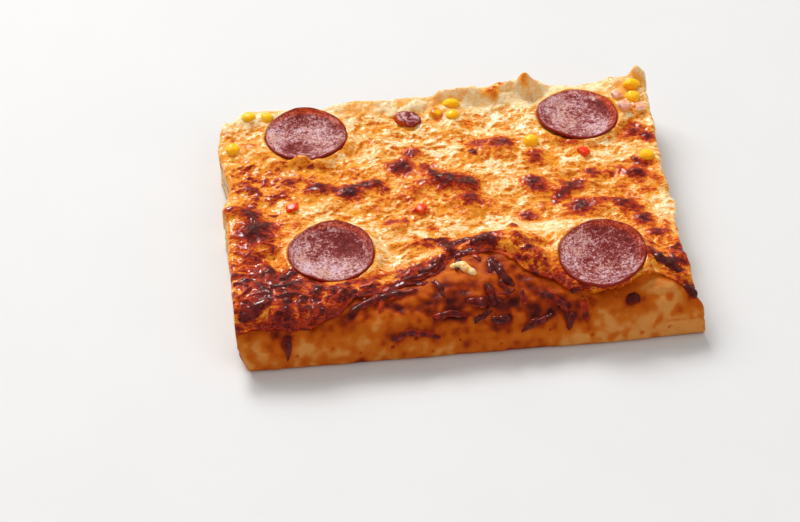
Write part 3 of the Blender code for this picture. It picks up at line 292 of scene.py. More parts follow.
# Pale, smooth runs of cheese: x, y, radius
PALE = (
    (-32, -25, 8), (-39, -45, 6), (-22, -22, 6), (-2, -17, 9), (14, -19, 9), (30, -25, 6),
    (-83, 38, 4), (30, 17, 4), (-4, 36, 8), (44, 68, 14), (26, 62, 9), (94, -16, 6), (-48, 2, 6),
    (-36, 38, 6), (40, -26, 7), (-60, -4, 8), (74, -40, 3), (84, 22, 6), (93, -20, 8),
    (98, -22, 6), (96, -8, 6), (84, -32, 5), (94, -38, 5), (88, -44, 4), (86, 48, 6), (96, 30, 6),
    (84, 30, 5), (76, 34, 5), (34, 44, 6), (-76, -24, 4), (22, 22, 4), (-8, 50, 8), (-96, 66, 6),
    (-84, 64, 5), (36, -48, 3))

# Golden, oily pools and sunken corn: x, y, radius, strength
GOLD = (
    (-82, 24, 13, 0.6), (-62, 24, 11, 0.5), (-46, 20, 9, 0.4), (-84, 4, 10, 0.4),
    (-88, 38, 9, 0.5), (-70, 34, 8, 0.4), (-92, 62, 6, 0.4), (-42, 46, 9, 0.3),
    (86, 60, 8, 0.8), (92, 66, 7, 0.8), (-73, -4, 4, 1.0), (24, -45, 7, 0.7),
    (30, -53, 5, 0.7), (-98, 53, 5, 1.0), (-98, 44, 5, 0.8), (-94, 30, 8, 0.6), (-95, 16, 8, 0.55),
    (-34, 68, 4, 0.8), (-14, 76, 4, 0.6), (-38, 77, 6, 0.5), (7, 74, 6, 0.5),
    (2, 54, 5, 0.6), (12, 52, 5, 0.5), (36, 52, 4, 0.5), (43, 44, 5, 0.6),
    (5, -11, 8, 1.0), (-4, -10, 5, 0.7), (13, -8, 5, 0.8), (-4, -6, 4, 0.7),
    (49, 23, 5, 1.0), (28, 20, 5, 0.5), (24, 8, 4, 0.7), (78, 22, 6, 0.8), (50, 13, 4, 0.6),
    (97, 76, 8, 0.6), (90, 74, 5, 0.5), (-58, 33, 5, 0.6), (-40, 28, 6, 0.5),
    (-32, -10, 6, 0.5), (-43, -2, 8, 0.4), (-28, -32, 7, 0.6), (-20, -36, 5, 0.5),
    (38, -40, 4, 0.6), (26, -30, 4, 0.5), (34, -34, 3, 0.6), (-12, -38, 3, 0.8),
    (90, -10, 4, 0.6), (94, -25, 4, 0.6), (-62, 4, 5, 0.5), (-72, -14, 4, 0.5),
    (-84, -22, 4, 0.7), (-98, 0, 6, 0.4), (70, 2, 4, 0.4), (94, 22, 5, 0.5),
    (62, -4, 4, 0.4), (-70, 26, 7, 0.5), (-38, 14, 4, 0.4), (-25, 18, 5, 0.4))

# Stains of the bread, read at SEEN_LEVEL along the view: x, y, radius, browning
STAINS = (
    (-84, -76, 9, 0.22), (-66, -80, 8, 0.22), (-50, -74, 8, 0.24), (-40, -68, 8, 0.26),
    (-20, -62, 12, 0.22), (-12, -80, 10, 0.3), (6, -72, 14, 0.34), (6, -85, 12, 0.34),
    (22, -62, 10, 0.2), (24, -78, 8, 0.22), (38, -72, 10, 0.32), (42, -82, 9, 0.3),
    (50, -84, 10, 0.16), (60, -80, 8, 0.16), (68, -78, 7, 0.2), (80, -72, 7, 0.18),
    (86, -84, 9, 0.1), (-30, -84, 9, 0.16), (-94, -84, 6, 0.12), (14, -54, 9, 0.26))

# Air holes in the bread's skin: x, height, radius
PORES = (
    (71, 4.6, 0.8), (83, 6.0, 0.6), (49, 5.6, 0.7), (-27, 10.5, 0.7), (-20, 4.0, 0.6),
    (-37, 7.5, 0.7), (9.5, 5.0, 0.5), (-51, 6.0, 0.7), (-63, 9.0, 0.5), (31, 9.0, 0.5),
    (-78, 7.0, 0.6), (-8, 8.0, 0.5))

# Zones where baked strands lie in the cheese: x, y, spread along and across, count, browning
STRAND_ZONES = (
    (-84.0, -64.0, 28.0, 20.0, 34, 0.95), (-48.0, -62.0, 24.0, 9.0, 13, 0.84),
    (-22.0, -52.0, 18.0, 7.0, 11, 0.86), (4.0, -37.0, 18.0, 9.0, 14, 0.92),
    (28.0, -52.0, 18.0, 16.0, 9, 0.58), (46.0, -70.0, 22.0, 9.0, 14, 0.86),
    (89.0, -55.0, 12.0, 18.0, 13, 0.86), (-92.0, -22.0, 10.0, 26.0, 10, 0.82))

# Zones of small stray shreds: x, y, spread along and across, count, browning
SHRED_ZONES = (
    (-78.0, -66.0, 24.0, 8.0, 12, 0.8), (-45.0, -64.0, 16.0, 4.0, 5, 0.8),
    (4.0, -46.0, 14.0, 8.0, 6, 0.84), (8.0, -63.0, 10.0, 9.0, 5, 0.84),
    (38.0, -70.0, 9.0, 4.0, 4, 0.84), (-20.0, -56.0, 10.0, 4.0, 4, 0.84))

# Lights: name, place, size, setting for its power, tint, whether it shows in the shine
DAYLIGHT = (1.0, 0.985, 0.96)
LAMPLIGHT = (1.0, 0.95, 0.88)
LIGHTS = (
    ("window", (-1.76, 3.68, 3.12), (3.2, 2.24), "window_power", DAYLIGHT, False),
    ("window_pane", (-0.75, 3.95, 3.1), (1.5, 1.2), "pane_power", DAYLIGHT, True),
    ("room_fill", (0.9, -1.8, 1.5), (2.0, 2.0), "fill_power", LAMPLIGHT, False))
ROOM_TINT = (1.0, 0.97, 0.93, 1.0)

# Table and camera
TABLE_HALF = 3.0
TABLE_DROP = 0.0002
CAMERA_PLACE = (-0.133193, -0.887428, 0.698567)
CAMERA_TILT = 51.5
CAMERA_TURN = -7.0
SENSOR_WIDTH = 36.0

# Roughness of a coat that needs none of its own
PLAIN_COAT = 0.03


def ramp(value):
    """Rise smoothly from 0 to 1 as value goes from 0 to 1."""
    value = np.clip(value, 0.0, 1.0)
    return value * value * (3.0 - 2.0 * value)


def bump(distance, radius):
    """Bell curve, 1 at the middle, near 0 at 1.5 radii."""
    return np.exp(-(distance / radius) ** 2)


def wave(x, y, length, offset):
    """Smooth uneven relief from -1 to 1."""
    x, y = np.broadcast_arrays(np.asarray(x, float), np.asarray(y, float))
    spots = zip((x.ravel() / length).tolist(), (y.ravel() / length).tolist())
    values = np.fromiter((noise.noise((a, b, offset)) for a, b in spots), float, x.size)
    return 1.6 * values.reshape(x.shape)


def wave_3d(x, y, z, length, offset):
    """Uneven relief from -1 to 1 through the body."""
    spots = zip((x / length + offset).tolist(), (y / length).tolist(), (z / length).tolist())
    return 1.6 * np.fromiter((noise.noise(spot) for spot in spots), float, x.size)


def tabled(function):
    """The same function, read from a fine table so that it takes long arrays quickly."""
    reads = np.arange(-120.0, 120.01, 0.5)
    values = function(reads)
    return lambda at: np.interp(at, reads, values)


@tabled
def front_y(x):
    """Front foot of the rim, which swings back a little towards the right."""
    return FRONT_Y + 0.00022 * np.maximum(x - 20.0, 0.0) ** 2 + 0.35 * wave(x, 0.0, 26.0, 1.5)


@tabled
def back_y(x):
    """Cut edge at the back, torn a little shorter at its left end."""
    torn = 5.4 * ramp((-89.0 - x) / 4.0) - 1.5 * bump(x + 81.0, 9.0)
    return BACK_Y + 0.03 * x + 1.6 * bump(x - 42.0, 16.0) - torn + 0.7 * wave(x, 0.0, 17.0, 4.5)


@tabled
def left_x(y):
    """Cut edge on the left, with its bite and bulges."""
    notch = 2.4 * bump(y - 21.0, 8.0) - 2.0 * bump(y - 1.0, 5.0) - 2.4 * bump(y - 50.0, 8.0)
    return -HALF_WIDTH + LEFT_LEAN * y + notch + 0.6 * wave(0.0, y, 15.0, 7.5)


@tabled
def right_x(y):
    """Cut edge on the right, with the rim's heel at the front."""
    heel = 6.5 * bump(y + 83.0, 11.0) + 1.6 * bump(y + 16.0, 7.0)
    return HALF_WIDTH - 2.8 + RIGHT_LEAN * y + heel + 0.6 * wave(0.0, y, 15.0, 9.5)


@tabled
def crest_y(x):
    """Where the rim is highest; it lies farther back in the middle."""
    return RIM_CREST_Y + 24.0 * bump(x - 14.0, 30.0) + 22.0 * bump(x - 56.0, 24.0)


@tabled
def crest_height(x):
    """Height of the rim along its crest."""
    swell = 3.0 * bump(x - 13.0, 26.0) + bump(x - 58.0, 20.0) + 1.6 * bump(x - 77.0, 12.0)
    return RIM_CREST + swell - 5.5 * ramp((x - 84.0) / 18.0) - ramp((-86.0 - x) / 16.0)


@tabled
def cheese_front(x):
    """Front edge of the cheese at x."""
    return np.interp(x, *zip(*CHEESE_FRONT))


@tabled
def sauce_front(x):
    """Front edge of the sauce, hidden well behind the cheese's own."""
    return np.maximum(SAUCE_FRONT_Y + 3.0 * wave(x, 0.0, 20.0, 11.5), cheese_front(x) + 9.0)


@tabled
def ragged_front(x):
    """Front edge of the finished cheese, set back where a slice lies on the rim."""
    uneven = 1.3 * wave(x, 0.0, 8.0, 51.5) + 0.3 * wave(x, 0.0, 3.0, 53.5)
    return cheese_front(x) + 1.3 + uneven + 5.2 * bump(x - 58.0, 15.0)


@tabled
def front_browning(x):
    """Browning of the cheese along its front edge."""
    return np.interp(x, *zip(*EDGE_BROWNING))


def crust_height(x, y):
    """Top of the bread: a rounded rim, then a slope down to the flat base."""
    crest = crest_y(x)
    height = crest_height(x)
    reach = np.clip((crest - y) / (crest - front_y(x)), 0.0, 1.0)
    lumps = 0.5 * wave(x, y, 13.0, 2.5)
    rim = height * (1.0 - reach ** RIM_POWER) ** (1.0 / RIM_POWER)
    rim += lumps * ramp((y - front_y(x)) / 12.0)
    base = BASE_TOP + 2.5 * bump(np.hypot(x - 95.0, y - 78.0), 26.0) + 0.4 * wave(x, y, 30.0, 3.5)
    slope = height + (base - height) * ramp((y - crest) / BASE_RUN)
    slope += lumps * ramp((crest + 14.0 - y) / 14.0)
    return np.where(y < crest, rim, slope)


def sauce_lift(x, y):
    """Room that the sauce takes between bread and cheese."""
    return (SAUCE_THICK + GAP) * ramp((y - sauce_front(x) + 7.0) / 6.0)


def cheese_level(x, y):
    """Top of the cheese with its blisters and hollows, before any topping presses it."""
    x = np.asarray(x, float)
    y = np.asarray(y, float)
    behind_edge = y - cheese_front(x)
    behind_crest = y - np.maximum(cheese_front(x), crest_y(x) - 4.0)
    thick = CHEESE_EDGE + 0.8 * ramp(behind_edge / 10.0)
    thick = thick + (CHEESE_FULL - CHEESE_EDGE - 0.8) * ramp(behind_crest / CHEESE_RUN)
    level = crust_height(x, y) + GAP + sauce_lift(x, y) + thick
    level = level + WAVE_HEIGHT * wave(x, y, WAVE_LENGTH, 5.5) * ramp(behind_edge / 12.0)
    for bx, by, radius, height in BLISTERS:
        level = level + height * bump(np.hypot(x - bx, y - by), radius) * ramp(behind_edge / 5.0)
    for hx, hy, radius, depth in HOLLOWS:
        level = level - depth * bump(np.hypot(x - hx, y - hy), radius)
    return level


def slice_plane(cx, cy):
    """Mean height and slopes of the cheese under a slice, from a ring of samples."""
    angle = math.tau * np.arange(SEAT_SAMPLES) / SEAT_SAMPLES
    level = cheese_level(cx + SEAT_RING * np.cos(angle), cy + SEAT_RING * np.sin(angle))
    slope_x = 2.0 * np.mean(np.cos(angle) * level) / SEAT_RING
    slope_y = 2.0 * np.mean(np.sin(angle) * level) / SEAT_RING
    return np.mean(level), slope_x, slope_y


PLANES = {name: slice_plane(cx, cy) for name, cx, cy, *_ in SLICES}


def slice_under(name, cx, cy, cup, x, y):
    """Underside of a cupped slice where it rests on the cheese."""
    mean, slope_x, slope_y = PLANES[name]
    reach = np.hypot(x - cx, y - cy) / SLICE_RADIUS
    return mean - 0.4 * cup + cup * reach ** 2 + slope_x * (x - cx) + slope_y * (y - cy)


class Chart:
    """Values over the plan of the slice on a fine square chart."""

    cell = 0.45
    low = (-109.0, -94.0)
    high = (111.0, 94.0)

    def __init__(self):
        xs = np.arange(self.low[0], self.high[0], self.cell)
        ys = np.arange(self.low[1], self.high[1], self.cell)
        self.x, self.y = np.meshgrid(xs, ys)
        bend = 1.3 * wave(self.x, self.y, 6.0, 21.5), 1.3 * wave(self.x, self.y, 6.0, 23.5)
        curl = 0.7 * wave(self.x, self.y, 2.4, 25.5), 0.7 * wave(self.x, self.y, 2.4, 27.5)
        self.bent_x = self.x + bend[0] + curl[0]
        self.bent_y = self.y + bend[1] + curl[1]

    def window(self, x0, x1, y0, y1):
        """Rows and columns that cover a patch of the plan."""
        rows = [int((v - self.low[1]) / self.cell) for v in (y0, y1)]
        columns = [int((v - self.low[0]) / self.cell) for v in (x0, x1)]
        return (slice(max(rows[0], 0), max(rows[1] + 2, 0)),
                slice(max(columns[0], 0), max(columns[1] + 2, 0)))

    def spot(self, field, x, y, radius, value):
        """Raise a soft round spot."""
        reach = 2.4 * radius + 2.0
        patch = self.window(x - reach, x + reach, y - reach, y + reach)
        distance = np.hypot(self.bent_x[patch] - x, self.bent_y[patch] - y)
        np.maximum(field[patch], value * bump(distance, radius), out=field[patch])

    def ridge(self, field, points, half_width, value):
        """Raise a soft ridge along a run of points."""
        for (x0, y0), (x1, y1) in zip(points, points[1:]):
            reach = 2.4 * half_width + 2.0
            patch = self.window(min(x0, x1) - reach, max(x0, x1) + reach,
                                min(y0, y1) - reach, max(y0, y1) + reach)
            px = self.bent_x[patch] - x0
            py = self.bent_y[patch] - y0
            length = max((x1 - x0) ** 2 + (y1 - y0) ** 2, 1e-6)
            along = np.clip((px * (x1 - x0) + py * (y1 - y0)) / length, 0.0, 1.0)
            distance = np.hypot(px - along * (x1 - x0), py - along * (y1 - y0))
            np.maximum(field[patch], value * bump(distance, half_width), out=field[patch])

    def soften(self, field, radius):
        """Blur a field by a few box passes."""
        steps = max(1, round(radius / self.cell))
        for _ in range(3):
            for axis in (0, 1):
                field = sum(np.roll(field, s, axis) for s in range(-steps, steps + 1))
                field = field / (2 * steps + 1)
        return field

    def read(self, field, x, y):
        """Values at any plan points, smoothly between the chart's own."""
        gx = np.clip((x - self.low[0]) / self.cell, 0, field.shape[1] - 2)
        gy = np.clip((y - self.low[1]) / self.cell, 0, field.shape[0] - 2)
        ix = gx.astype(int)
        iy = gy.astype(int)
        fx = gx - ix
        fy = gy - iy
        low = field[iy, ix] * (1.0 - fx) + field[iy, ix + 1] * fx
        high = field[iy + 1, ix] * (1.0 - fx) + field[iy + 1, ix + 1] * fx
        return low * (1.0 - fy) + high * fy


def strand_points(rng, x, y, length, angle):
    """A short crooked run of plan points."""
    points = [(x, y)]
    for _ in range(3):
        angle += rng.uniform(-0.5, 0.5)
        x += length / 3.0 * math.cos(angle)
        y += length / 3.0 * math.sin(angle)
        points.append((x, y))
    return points


def strewn(rng):
    """A random place on the cheese."""
    return rng.uniform(*STREWN_X), rng.uniform(*STREWN_Y)


def strand_fields(chart, rng, warmth, pale):
    """Strands and curds all over the cheese, and the tops of them that have browned."""
    strands = np.zeros_like(chart.x)
    tops = np.zeros_like(chart.x)
    for _ in range(STRAND_COUNT):
        points = strand_points(rng, *strewn(rng), rng.uniform(4.0, 13.0), rng.gauss(0.0, 0.7))
        chart.ridge(strands, points, rng.uniform(0.9, 1.9), rng.uniform(0.25, 0.9))
    for _ in range(CURD_COUNT):
        x, y = strewn(rng)
        radius = rng.uniform(0.6, 1.9)
        chart.spot(strands, x, y, radius, rng.uniform(0.2, 0.75))
        patch = chart.window(x, x, y, y)
        heat = 0.3 + 1.5 * warmth[patch].mean() - 0.35 * pale[patch].mean()
        if rng.random() < heat:
            chart.spot(tops, x, y, radius * rng.uniform(0.8, 1.3), rng.uniform(0.3, 0.8))
    return strands, tops


def burnt_fields(chart, rng, relief):
    """Halo and core of the browned spots, and the baked strands between them."""
    halo = np.zeros_like(chart.x)
    core = np.zeros_like(chart.x)
    for x, y, radius, value in SPOTS:
        chart.spot(halo, x, y, 1.75 * radius, 0.58 * value)
        chart.spot(core, x, y, 1.05 * radius, 0.42 * value)
    for carrier, half_width, _, value, points in SHREDS:
        if carrier == "cheese" and value > 0.5:
            chart.ridge(halo, points, half_width + 3.0, 0.56)
            chart.ridge(core, points, half_width + 1.0, 0.3)
    for zone_x, zone_y, spread_x, spread_y, count, value in STRAND_ZONES:
        for _ in range(count):
            x = rng.gauss(zone_x, 0.5 * spread_x)
            y = rng.gauss(zone_y, 0.5 * spread_y)
            points = strand_points(rng, x, y, rng.uniform(3.0, 10.0), rng.uniform(0.0, math.tau))
            width = rng.uniform(1.5, 3.2)
            strength = value + rng.uniform(-0.5, 0.12)
            chart.ridge(halo, points, width + 1.0, 0.58 * strength)
            chart.ridge(core, points, 0.8 * width, 0.42 * strength)
            chart.ridge(relief, points, width, rng.uniform(0.8, 2.0))
    return halo, core


def cheese_chart(relief_height):
    """Fine relief, browning and gold of the baked cheese over the plan, with painted shade on the
    slopes turned from the light.
    """
    chart = Chart()
    rng = random.Random(11)
    x = chart.x
    y = chart.y
    warmth = np.zeros_like(x)
    for wx, wy, radius, value in WARM:
        warmth += value * bump(np.hypot(chart.bent_x - wx, chart.bent_y - wy), radius)
    pale = np.zeros_like(x)
    for px, py, radius in PALE:
        chart.spot(pale, px, py, radius, 1.0)
    strands, tops = strand_fields(chart, rng, warmth, pale)
    broad = wave(x, y, 9.0, 31.5) + 0.5 * wave(x, y, 4.0, 33.5)
    grain = 0.6 * wave(x, y, 1.9, 35.5) + 0.4 * wave(x, y, 1.1, 37.5)
    curds = wave(chart.bent_x / 1.5, chart.bent_y, 4.6, 71.5)
    curds = curds + 0.6 * wave(chart.bent_x / 1.3, chart.bent_y, 2.2, 73.5)
    curds = np.tanh(2.0 * curds)
    relief = strands * (0.8 - 0.4 * pale) + 0.6 * broad + 0.3 * grain + 0.4 * curds
    halo, core = burnt_fields(chart, rng, relief)
    spots = halo + core
    raised = relief - chart.soften(relief, 2.2)
    heat = np.clip(1.6 * warmth + 0.8 * chart.soften(spots, 3.0), 0.0, 1.0)
    # Painted shade: slopes that turn away from the light get browner, more golden colour, standing
    # in for their shade and for light shining through the cheese; there is less of it along the
    # back
    rise_y, rise_x = np.gradient(cheese_level(x, y) + relief_height * relief, chart.cell)
    shaded = np.clip(LIGHT_SIDE[0] * rise_x + LIGHT_SIDE[1] * rise_y, -0.5, 0.8)
    shaded = shaded * (1.0 - 0.8 * ramp((y - 60.0) / 10.0))
    toast = 0.15 + 0.08 * broad + 0.06 * grain + warmth - 0.12 * pale
    toast = toast - 0.13 * curds * (1.0 - 1.4 * heat) + 0.34 * shaded * (1.0 - 0.5 * heat)
    toast = np.maximum(toast, 0.1 + 0.75 * np.clip(shaded, 0.0, 0.45))
    toast = toast + np.clip(raised, -0.5, 0.6) * (0.5 * heat - 0.2)
    # Along the back wall the colour is pulled to a pale cream: partly the cheese's own pale
    # colour, partly painted light on a wall that faces away from the light
    back = ramp((y - 62.0) / 9.0)
    toast = toast + (0.09 - toast) * 0.75 * back
    toast = toast - 0.14 * ramp((x - 82.0) / 10.0) * bump(y + 8.0, 34.0)
    toast = np.maximum(toast, tops * (0.6 + warmth) * (1.0 - 0.6 * back))
    toast = np.maximum(toast, spots * (1.0 + 0.12 * broad + 0.16 * grain))
    gold = np.zeros_like(x)
    for gx, gy, radius, value in GOLD:
        chart.spot(gold, gx, gy, radius, value)
    hollow = np.clip(-raised, 0.0, 0.5)
    gold = gold + 1.1 * hollow + 0.2 * broad - 0.25 * curds - 0.3 * pale
    gold = gold + 0.6 * bump(np.hypot((x + 72.0) / 1.3, y - 26.0), 28.0)
    chart.relief = relief_height * (relief + 0.5 * core * (1.0 + grain))
    chart.toast = np.clip(toast, -0.08, 1.1)
    # Painted shade: the slopes turned from the light are made more golden too
    chart.gold = np.clip(gold + 0.4 * shaded, 0.0, 1.0)
    chart.calm = back * np.clip(0.4 + 1.5 * np.clip(rise_y, 0.0, 1.0), 0.0, 1.0)
    return chart


def placed(x, y, z):
    """Millimetres of the plan into metres of the frame, kept inside the solids' box."""
    points = np.stack((x + PLAN_SHIFT[0], y + PLAN_SHIFT[1], z), axis=1) * MM
    return np.clip(points, np.array(CAD_BOX[0]), np.array(CAD_BOX[1]))


def points_of(body):
    """The places of a bmesh's vertices as one array."""
    return np.array([vert.co[:] for vert in body.verts])


def finish_piece(name, body, points, material, values=None, replaces=()):
    """Turn a bmesh, with new vertex places where given, into a piece that rides on the slice."""
    mesh = bpy.data.meshes.new(name)
    bmesh.ops.recalc_face_normals(body, faces=body.faces[:])
    body.to_mesh(mesh)
    body.free()
    if points is not None:
        mesh.vertices.foreach_set("co", points.astype(np.float32).ravel())
    for key, field in (values or {}).items():
        layer = mesh.attributes.new(key, "FLOAT", "POINT")
        layer.data.foreach_set("value", np.asarray(field, np.float32))
    mesh.shade_smooth()
    mesh.update()
    mesh.materials.append(material)
    piece = bpy.data.objects.new(name, mesh)
    bpy.context.collection.objects.link(piece)
    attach(piece, "root")
    if replaces:
        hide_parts(*replaces)
    return piece


def layer_sheet(columns, rows, rings):
    """A closed layer in its own units: a grid from 0 to 1 and a skirt one unit down a ring."""
    body = bmesh.new()
    bmesh.ops.create_grid(body, x_segments=columns, y_segments=rows, size=0.5)
    bmesh.ops.translate(body, vec=(0.5, 0.5, 0.0), verts=body.verts)
    edges = [edge for edge in body.edges if edge.is_boundary]
    for _ in range(rings):
        made = bmesh.ops.extrude_edge_only(body, edges=edges)["geom"]
        verts = [item for item in made if isinstance(item, bmesh.types.BMVert)]
        bmesh.ops.translate(body, vec=(0.0, 0.0, -1.0), verts=verts)
        edges = [item for item in made
                 if isinstance(item, bmesh.types.BMEdge) and item.is_boundary]
    bmesh.ops.contextual_create(body, geom=edges)
    return body


def plan_of(u, v, front, inset):
    """Plan places of a sheet's own coordinates between the edges of the slice."""
    x = -HALF_WIDTH + 2.0 * HALF_WIDTH * u
    for _ in range(3):
        start = front(x)
        y = start + (back_y(x) - inset - start) * v
        left = left_x(y) + inset
        x = left + (right_x(y) - inset - left) * u
    return x, y


def sides_of(u, v):
    """Outward direction of a sheet's border points, and whether each lies on the front."""
    out_x = np.where(u < 1e-4, -1.0, np.where(u > 1.0 - 1e-4, 1.0, 0.0))
    out_y = np.where(v > 1.0 - 1e-4, 1.0, 0.0)
    front = v < 1e-4
    out_x = np.where(front, 0.0, out_x)
    size = np.maximum(np.hypot(out_x, out_y), 1e-6)
    return out_x / size, out_y / size, front


def nose(x, fraction):
    """Setback and height of the rim's front at a share of the top ring's height."""
    crest = crest_height(x)
    depth = crest_y(x) - front_y(x)
    top = crest * (1.0 - (1.0 - RIM_TOP_RING / depth) ** RIM_POWER) ** (1.0 / RIM_POWER)
    height = top * fraction
    inner = (1.0 - (height / crest) ** RIM_POWER) ** (1.0 / RIM_POWER)
    setback = depth * (1.0 - inner)
    return setback + TUCK * np.maximum(1.0 - height / TUCK_HEIGHT, 0.0) ** 2, height


def vertex_normals(body, points):
    """Normals of a bmesh once its vertices are moved to their places."""
    for vert, place in zip(body.verts, points.tolist()):
        vert.co = place
    bmesh.ops.recalc_face_normals(body, faces=body.faces[:])
    body.normal_update()
    return np.array([vert.normal[:] for vert in body.verts])


def bread_shape(columns, rows):
    """The bread's closed mesh, its places, and which points are on a cut side."""
    body = layer_sheet(columns, rows, BREAD_RINGS)
    own = points_of(body)
    u, v = own[:, 0], own[:, 1]
    level = np.round(-own[:, 2])
    x, y = plan_of(u, v, lambda at: front_y(at) + RIM_TOP_RING, BREAD_INSET)
    z = crust_height(x, y)
    out_x, out_y, front = sides_of(u, v)
    share = 1.0 - level / BREAD_RINGS
    on_front = (level > 0) & front
    on_side = (level > 0) & ~front
    setback, nose_height = nose(x, share)
    corner = CORNER_DRAW * (1.0 - share) * bump(np.hypot(x + HALF_WIDTH + 2.0, y - FRONT_Y), 9.0)
    side_z = z * share
    rough = 0.35 * wave(x + y, side_z * 2.0, 6.0, 8.5)
    x = np.where(level > 0, x + corner, x)
    x = np.where(on_side, x + out_x * rough, x)
    y = np.where(on_side, y + out_y * rough, y)
    y = np.where(on_front, front_y(x) + setback, y)
    z = np.where(on_side, side_z, np.where(on_front, nose_height, z))
    return body, x, y, z, on_side


def rim_marks(x, y, z):
    """Pits, the crease by the right end and the folds by the left end of the rim's face."""
    face = (y < front_y(x) + 9.0) & (z > 1.0)
    pits = np.zeros_like(x)
    for px, pz, radius in PORES:
        pits = np.maximum(pits, np.where(face, bump(np.hypot(x - px, z - pz), radius), 0.0))
    crease = np.where(face, bump(z - 8.6 - 0.9 * wave(x, 0.0, 5.0, 41.5), 0.7), 0.0)
    folds = np.where(face, bump(z - 9.5 + 0.35 * (x + 92.0) - wave(x, 0.0, 4.0, 43.5), 0.8), 0.0)
    return pits, crease * ramp((x - 76.0) / 8.0), folds * bump(x + 92.0, 9.0)


def bread_browning(x, y, z, wrinkle, pits, crease, folds):
    """How far the skin is baked: by height, stains, the shreds on it, and on the sole; with
    painted light and shade on the wrinkles, pits, crease, right hump and low on the left.
    """
    seen_x = x + SEEN_LEAN[0] * (z - SEEN_LEVEL)
    seen_y = y + SEEN_LEAN[1] * (z - SEEN_LEVEL)
    height = np.clip(z / crest_height(x), 0.0, 1.2)
    # Painted light and shade: the raised wrinkles are paler and the hollows between them darker
    bake = 0.06 + 0.15 * ramp((height - 0.28) / 0.75) - 0.26 * wrinkle
    bake = bake + 0.18 * wave_3d(x, y, z, 9.0, 23.5) + 0.19 * wave_3d(x, y, z, 3.6, 29.5)
    bake = bake + 0.08 - 0.2 * ramp((seen_x - 30.0) / 40.0)
    # Painted shade: darker low on the rim's face towards the left, near the table
    bake = bake + 0.22 * ramp(1.0 - height / 0.45) * ramp((50.0 - x) / 30.0)
    for sx, sy, radius, value in STAINS:
        bake = bake + 0.8 * value * bump(np.hypot(seen_x - sx, (seen_y - sy) * 0.7), radius)
    chart = Chart()
    near = np.zeros_like(chart.x)
    for _, half_width, _, value, points in SHREDS:
        if value > 0.5:
            chart.ridge(near, points, half_width + 3.2, 0.6)
            chart.ridge(near, points, half_width + 1.0, 0.9)
    near_shreds = chart.read(near, x, y)
    bake = np.maximum(bake, bake * 0.5 + 0.74 * near_shreds * np.clip(height * 1.6, 0.0, 1.0))
    under_cheese = ramp((y - cheese_front(x) + 4.0) / 4.0)
    bake = np.maximum(bake, 0.5 * under_cheese * np.clip(height * 1.4 - 0.2, 0.0, 1.0))
    # Painted highlight: the right hump is paler; painted shade: the pits and the crease are
    # darker; paler along the raised folds
    lit_hump = bump(np.hypot(seen_x - 80.0, (seen_y + 68.0) * 0.8), 9.0)
    bake = bake - 0.2 * lit_hump + 0.12 * crease + 0.5 * pits - 0.12 * folds
    sole = np.clip(1.0 - z / 0.5, 0.0, 1.0)
    return np.clip(bake * (1.0 - sole) + 0.42 * sole, 0.0, 1.0)


def build_bread(sizes, colours):
    """The bread: baked rim and underside, and the open crumb of its cut sides."""
    step = sizes.bread_step / MM
    body, x, y, z, cut = bread_shape(round(2.0 * HALF_WIDTH / step),
                                     round((BACK_Y - FRONT_Y) / step))
    normals = vertex_normals(body, np.stack((x, y, z), axis=1))
    behind = y - front_y(x)
    cover = crust_height(x, np.maximum(y, front_y(x) + 0.5)) - z
    skin = np.clip(behind / 1.6, 0.0, 1.0) * np.clip(z / 1.4, 0.0, 1.0)
    skin = skin * np.clip(cover / 1.6, 0.0, 1.0)
    crumb = cut * ramp(skin) * (1.0 - 0.85 * ramp((-58.0 - y) / 12.0))
    holes = np.clip(wave_3d(x, y, z * 1.5, 3.4, 3.5) - 0.12, 0.0, 0.7)
    fine = np.clip(wave_3d(x, y, z * 1.3, 1.5, 9.5) - 0.05, 0.0, 0.6)
    upper = 0.35 + 0.65 * ramp((z / crest_height(x) - 0.35) / 0.5)
    wrinkle = 0.62 * wave_3d(x, y, z, 7.0, 13.5) + 0.3 * wave_3d(x, y, z, 3.0, 17.5)
    ripple = 0.11 * wave_3d(x, y, z, 1.5, 19.5)
    pits, crease, folds = rim_marks(x, y, z)
    lift = (1.0 - crumb) * upper * (wrinkle + ripple) - crumb * (1.7 * holes + 0.8 * fine)
    lift = lift - 0.8 * pits - 0.5 * crease + 0.5 * folds
    lift = lift * np.clip(z / 1.2, 0.0, 1.0)
    points = np.stack((x, y, z), axis=1) + normals * lift[:, None]
    points[:, 2] = np.maximum(points[:, 2], 0.0)
    points[z <= 0.0, 2] = 0.0
    return finish_piece(
        "baked_bread", body, placed(*points.T), bread_material(colours),
        {"bake": bread_browning(x, y, z, wrinkle, pits, crease, folds), "crumb": crumb,
         "hole": holes + 0.6 * fine}, replaces=("crust",))


def pressed(x, y, z, uneven):
    """Height of the cheese where the slices dent it and where it climbs the toppings."""
    for name, cx, cy, cup, _, _ in SLICES:
        distance = np.hypot(x - cx, y - cy) - SLICE_RADIUS
        under = slice_under(name, cx, cy, cup, x, y) - 0.15
        hug = under + (1.2 + 0.5 * uneven) * ramp((distance + 0.9) / 1.5)
        near = ramp((distance - 0.5) / DISH_FADE)
        z = np.where(distance < DISH_FADE + 0.5, hug + (z - hug) * near, z)
    sunk = [(cx, cy, lift + cover, CORN_CLIMB_RADIUS)
            for (cx, cy, _, lift, _), cover in zip(KERNELS, COVERS)]
    sunk += [(cx, cy, lift + 0.9, 0.9 * edge_length) for cx, cy, _, edge_length, lift in HAM]
    sunk += [(cx, cy, lift + 0.7, PEPPER_CLIMB_RADIUS) for cx, cy, _, lift in PEPPERS]
    for cx, cy, climb, radius in sunk:
        hug = bump(np.hypot(x - cx, y - cy), radius)
        z = z + hug * (cheese_level(cx, cy) + climb + 0.7 * uneven - z) * 0.85
    for cx, cy, radius, height in LAPS:
        z = z + height * bump(np.hypot(x - cx + 0.8 * uneven, y - cy), radius)
    return z


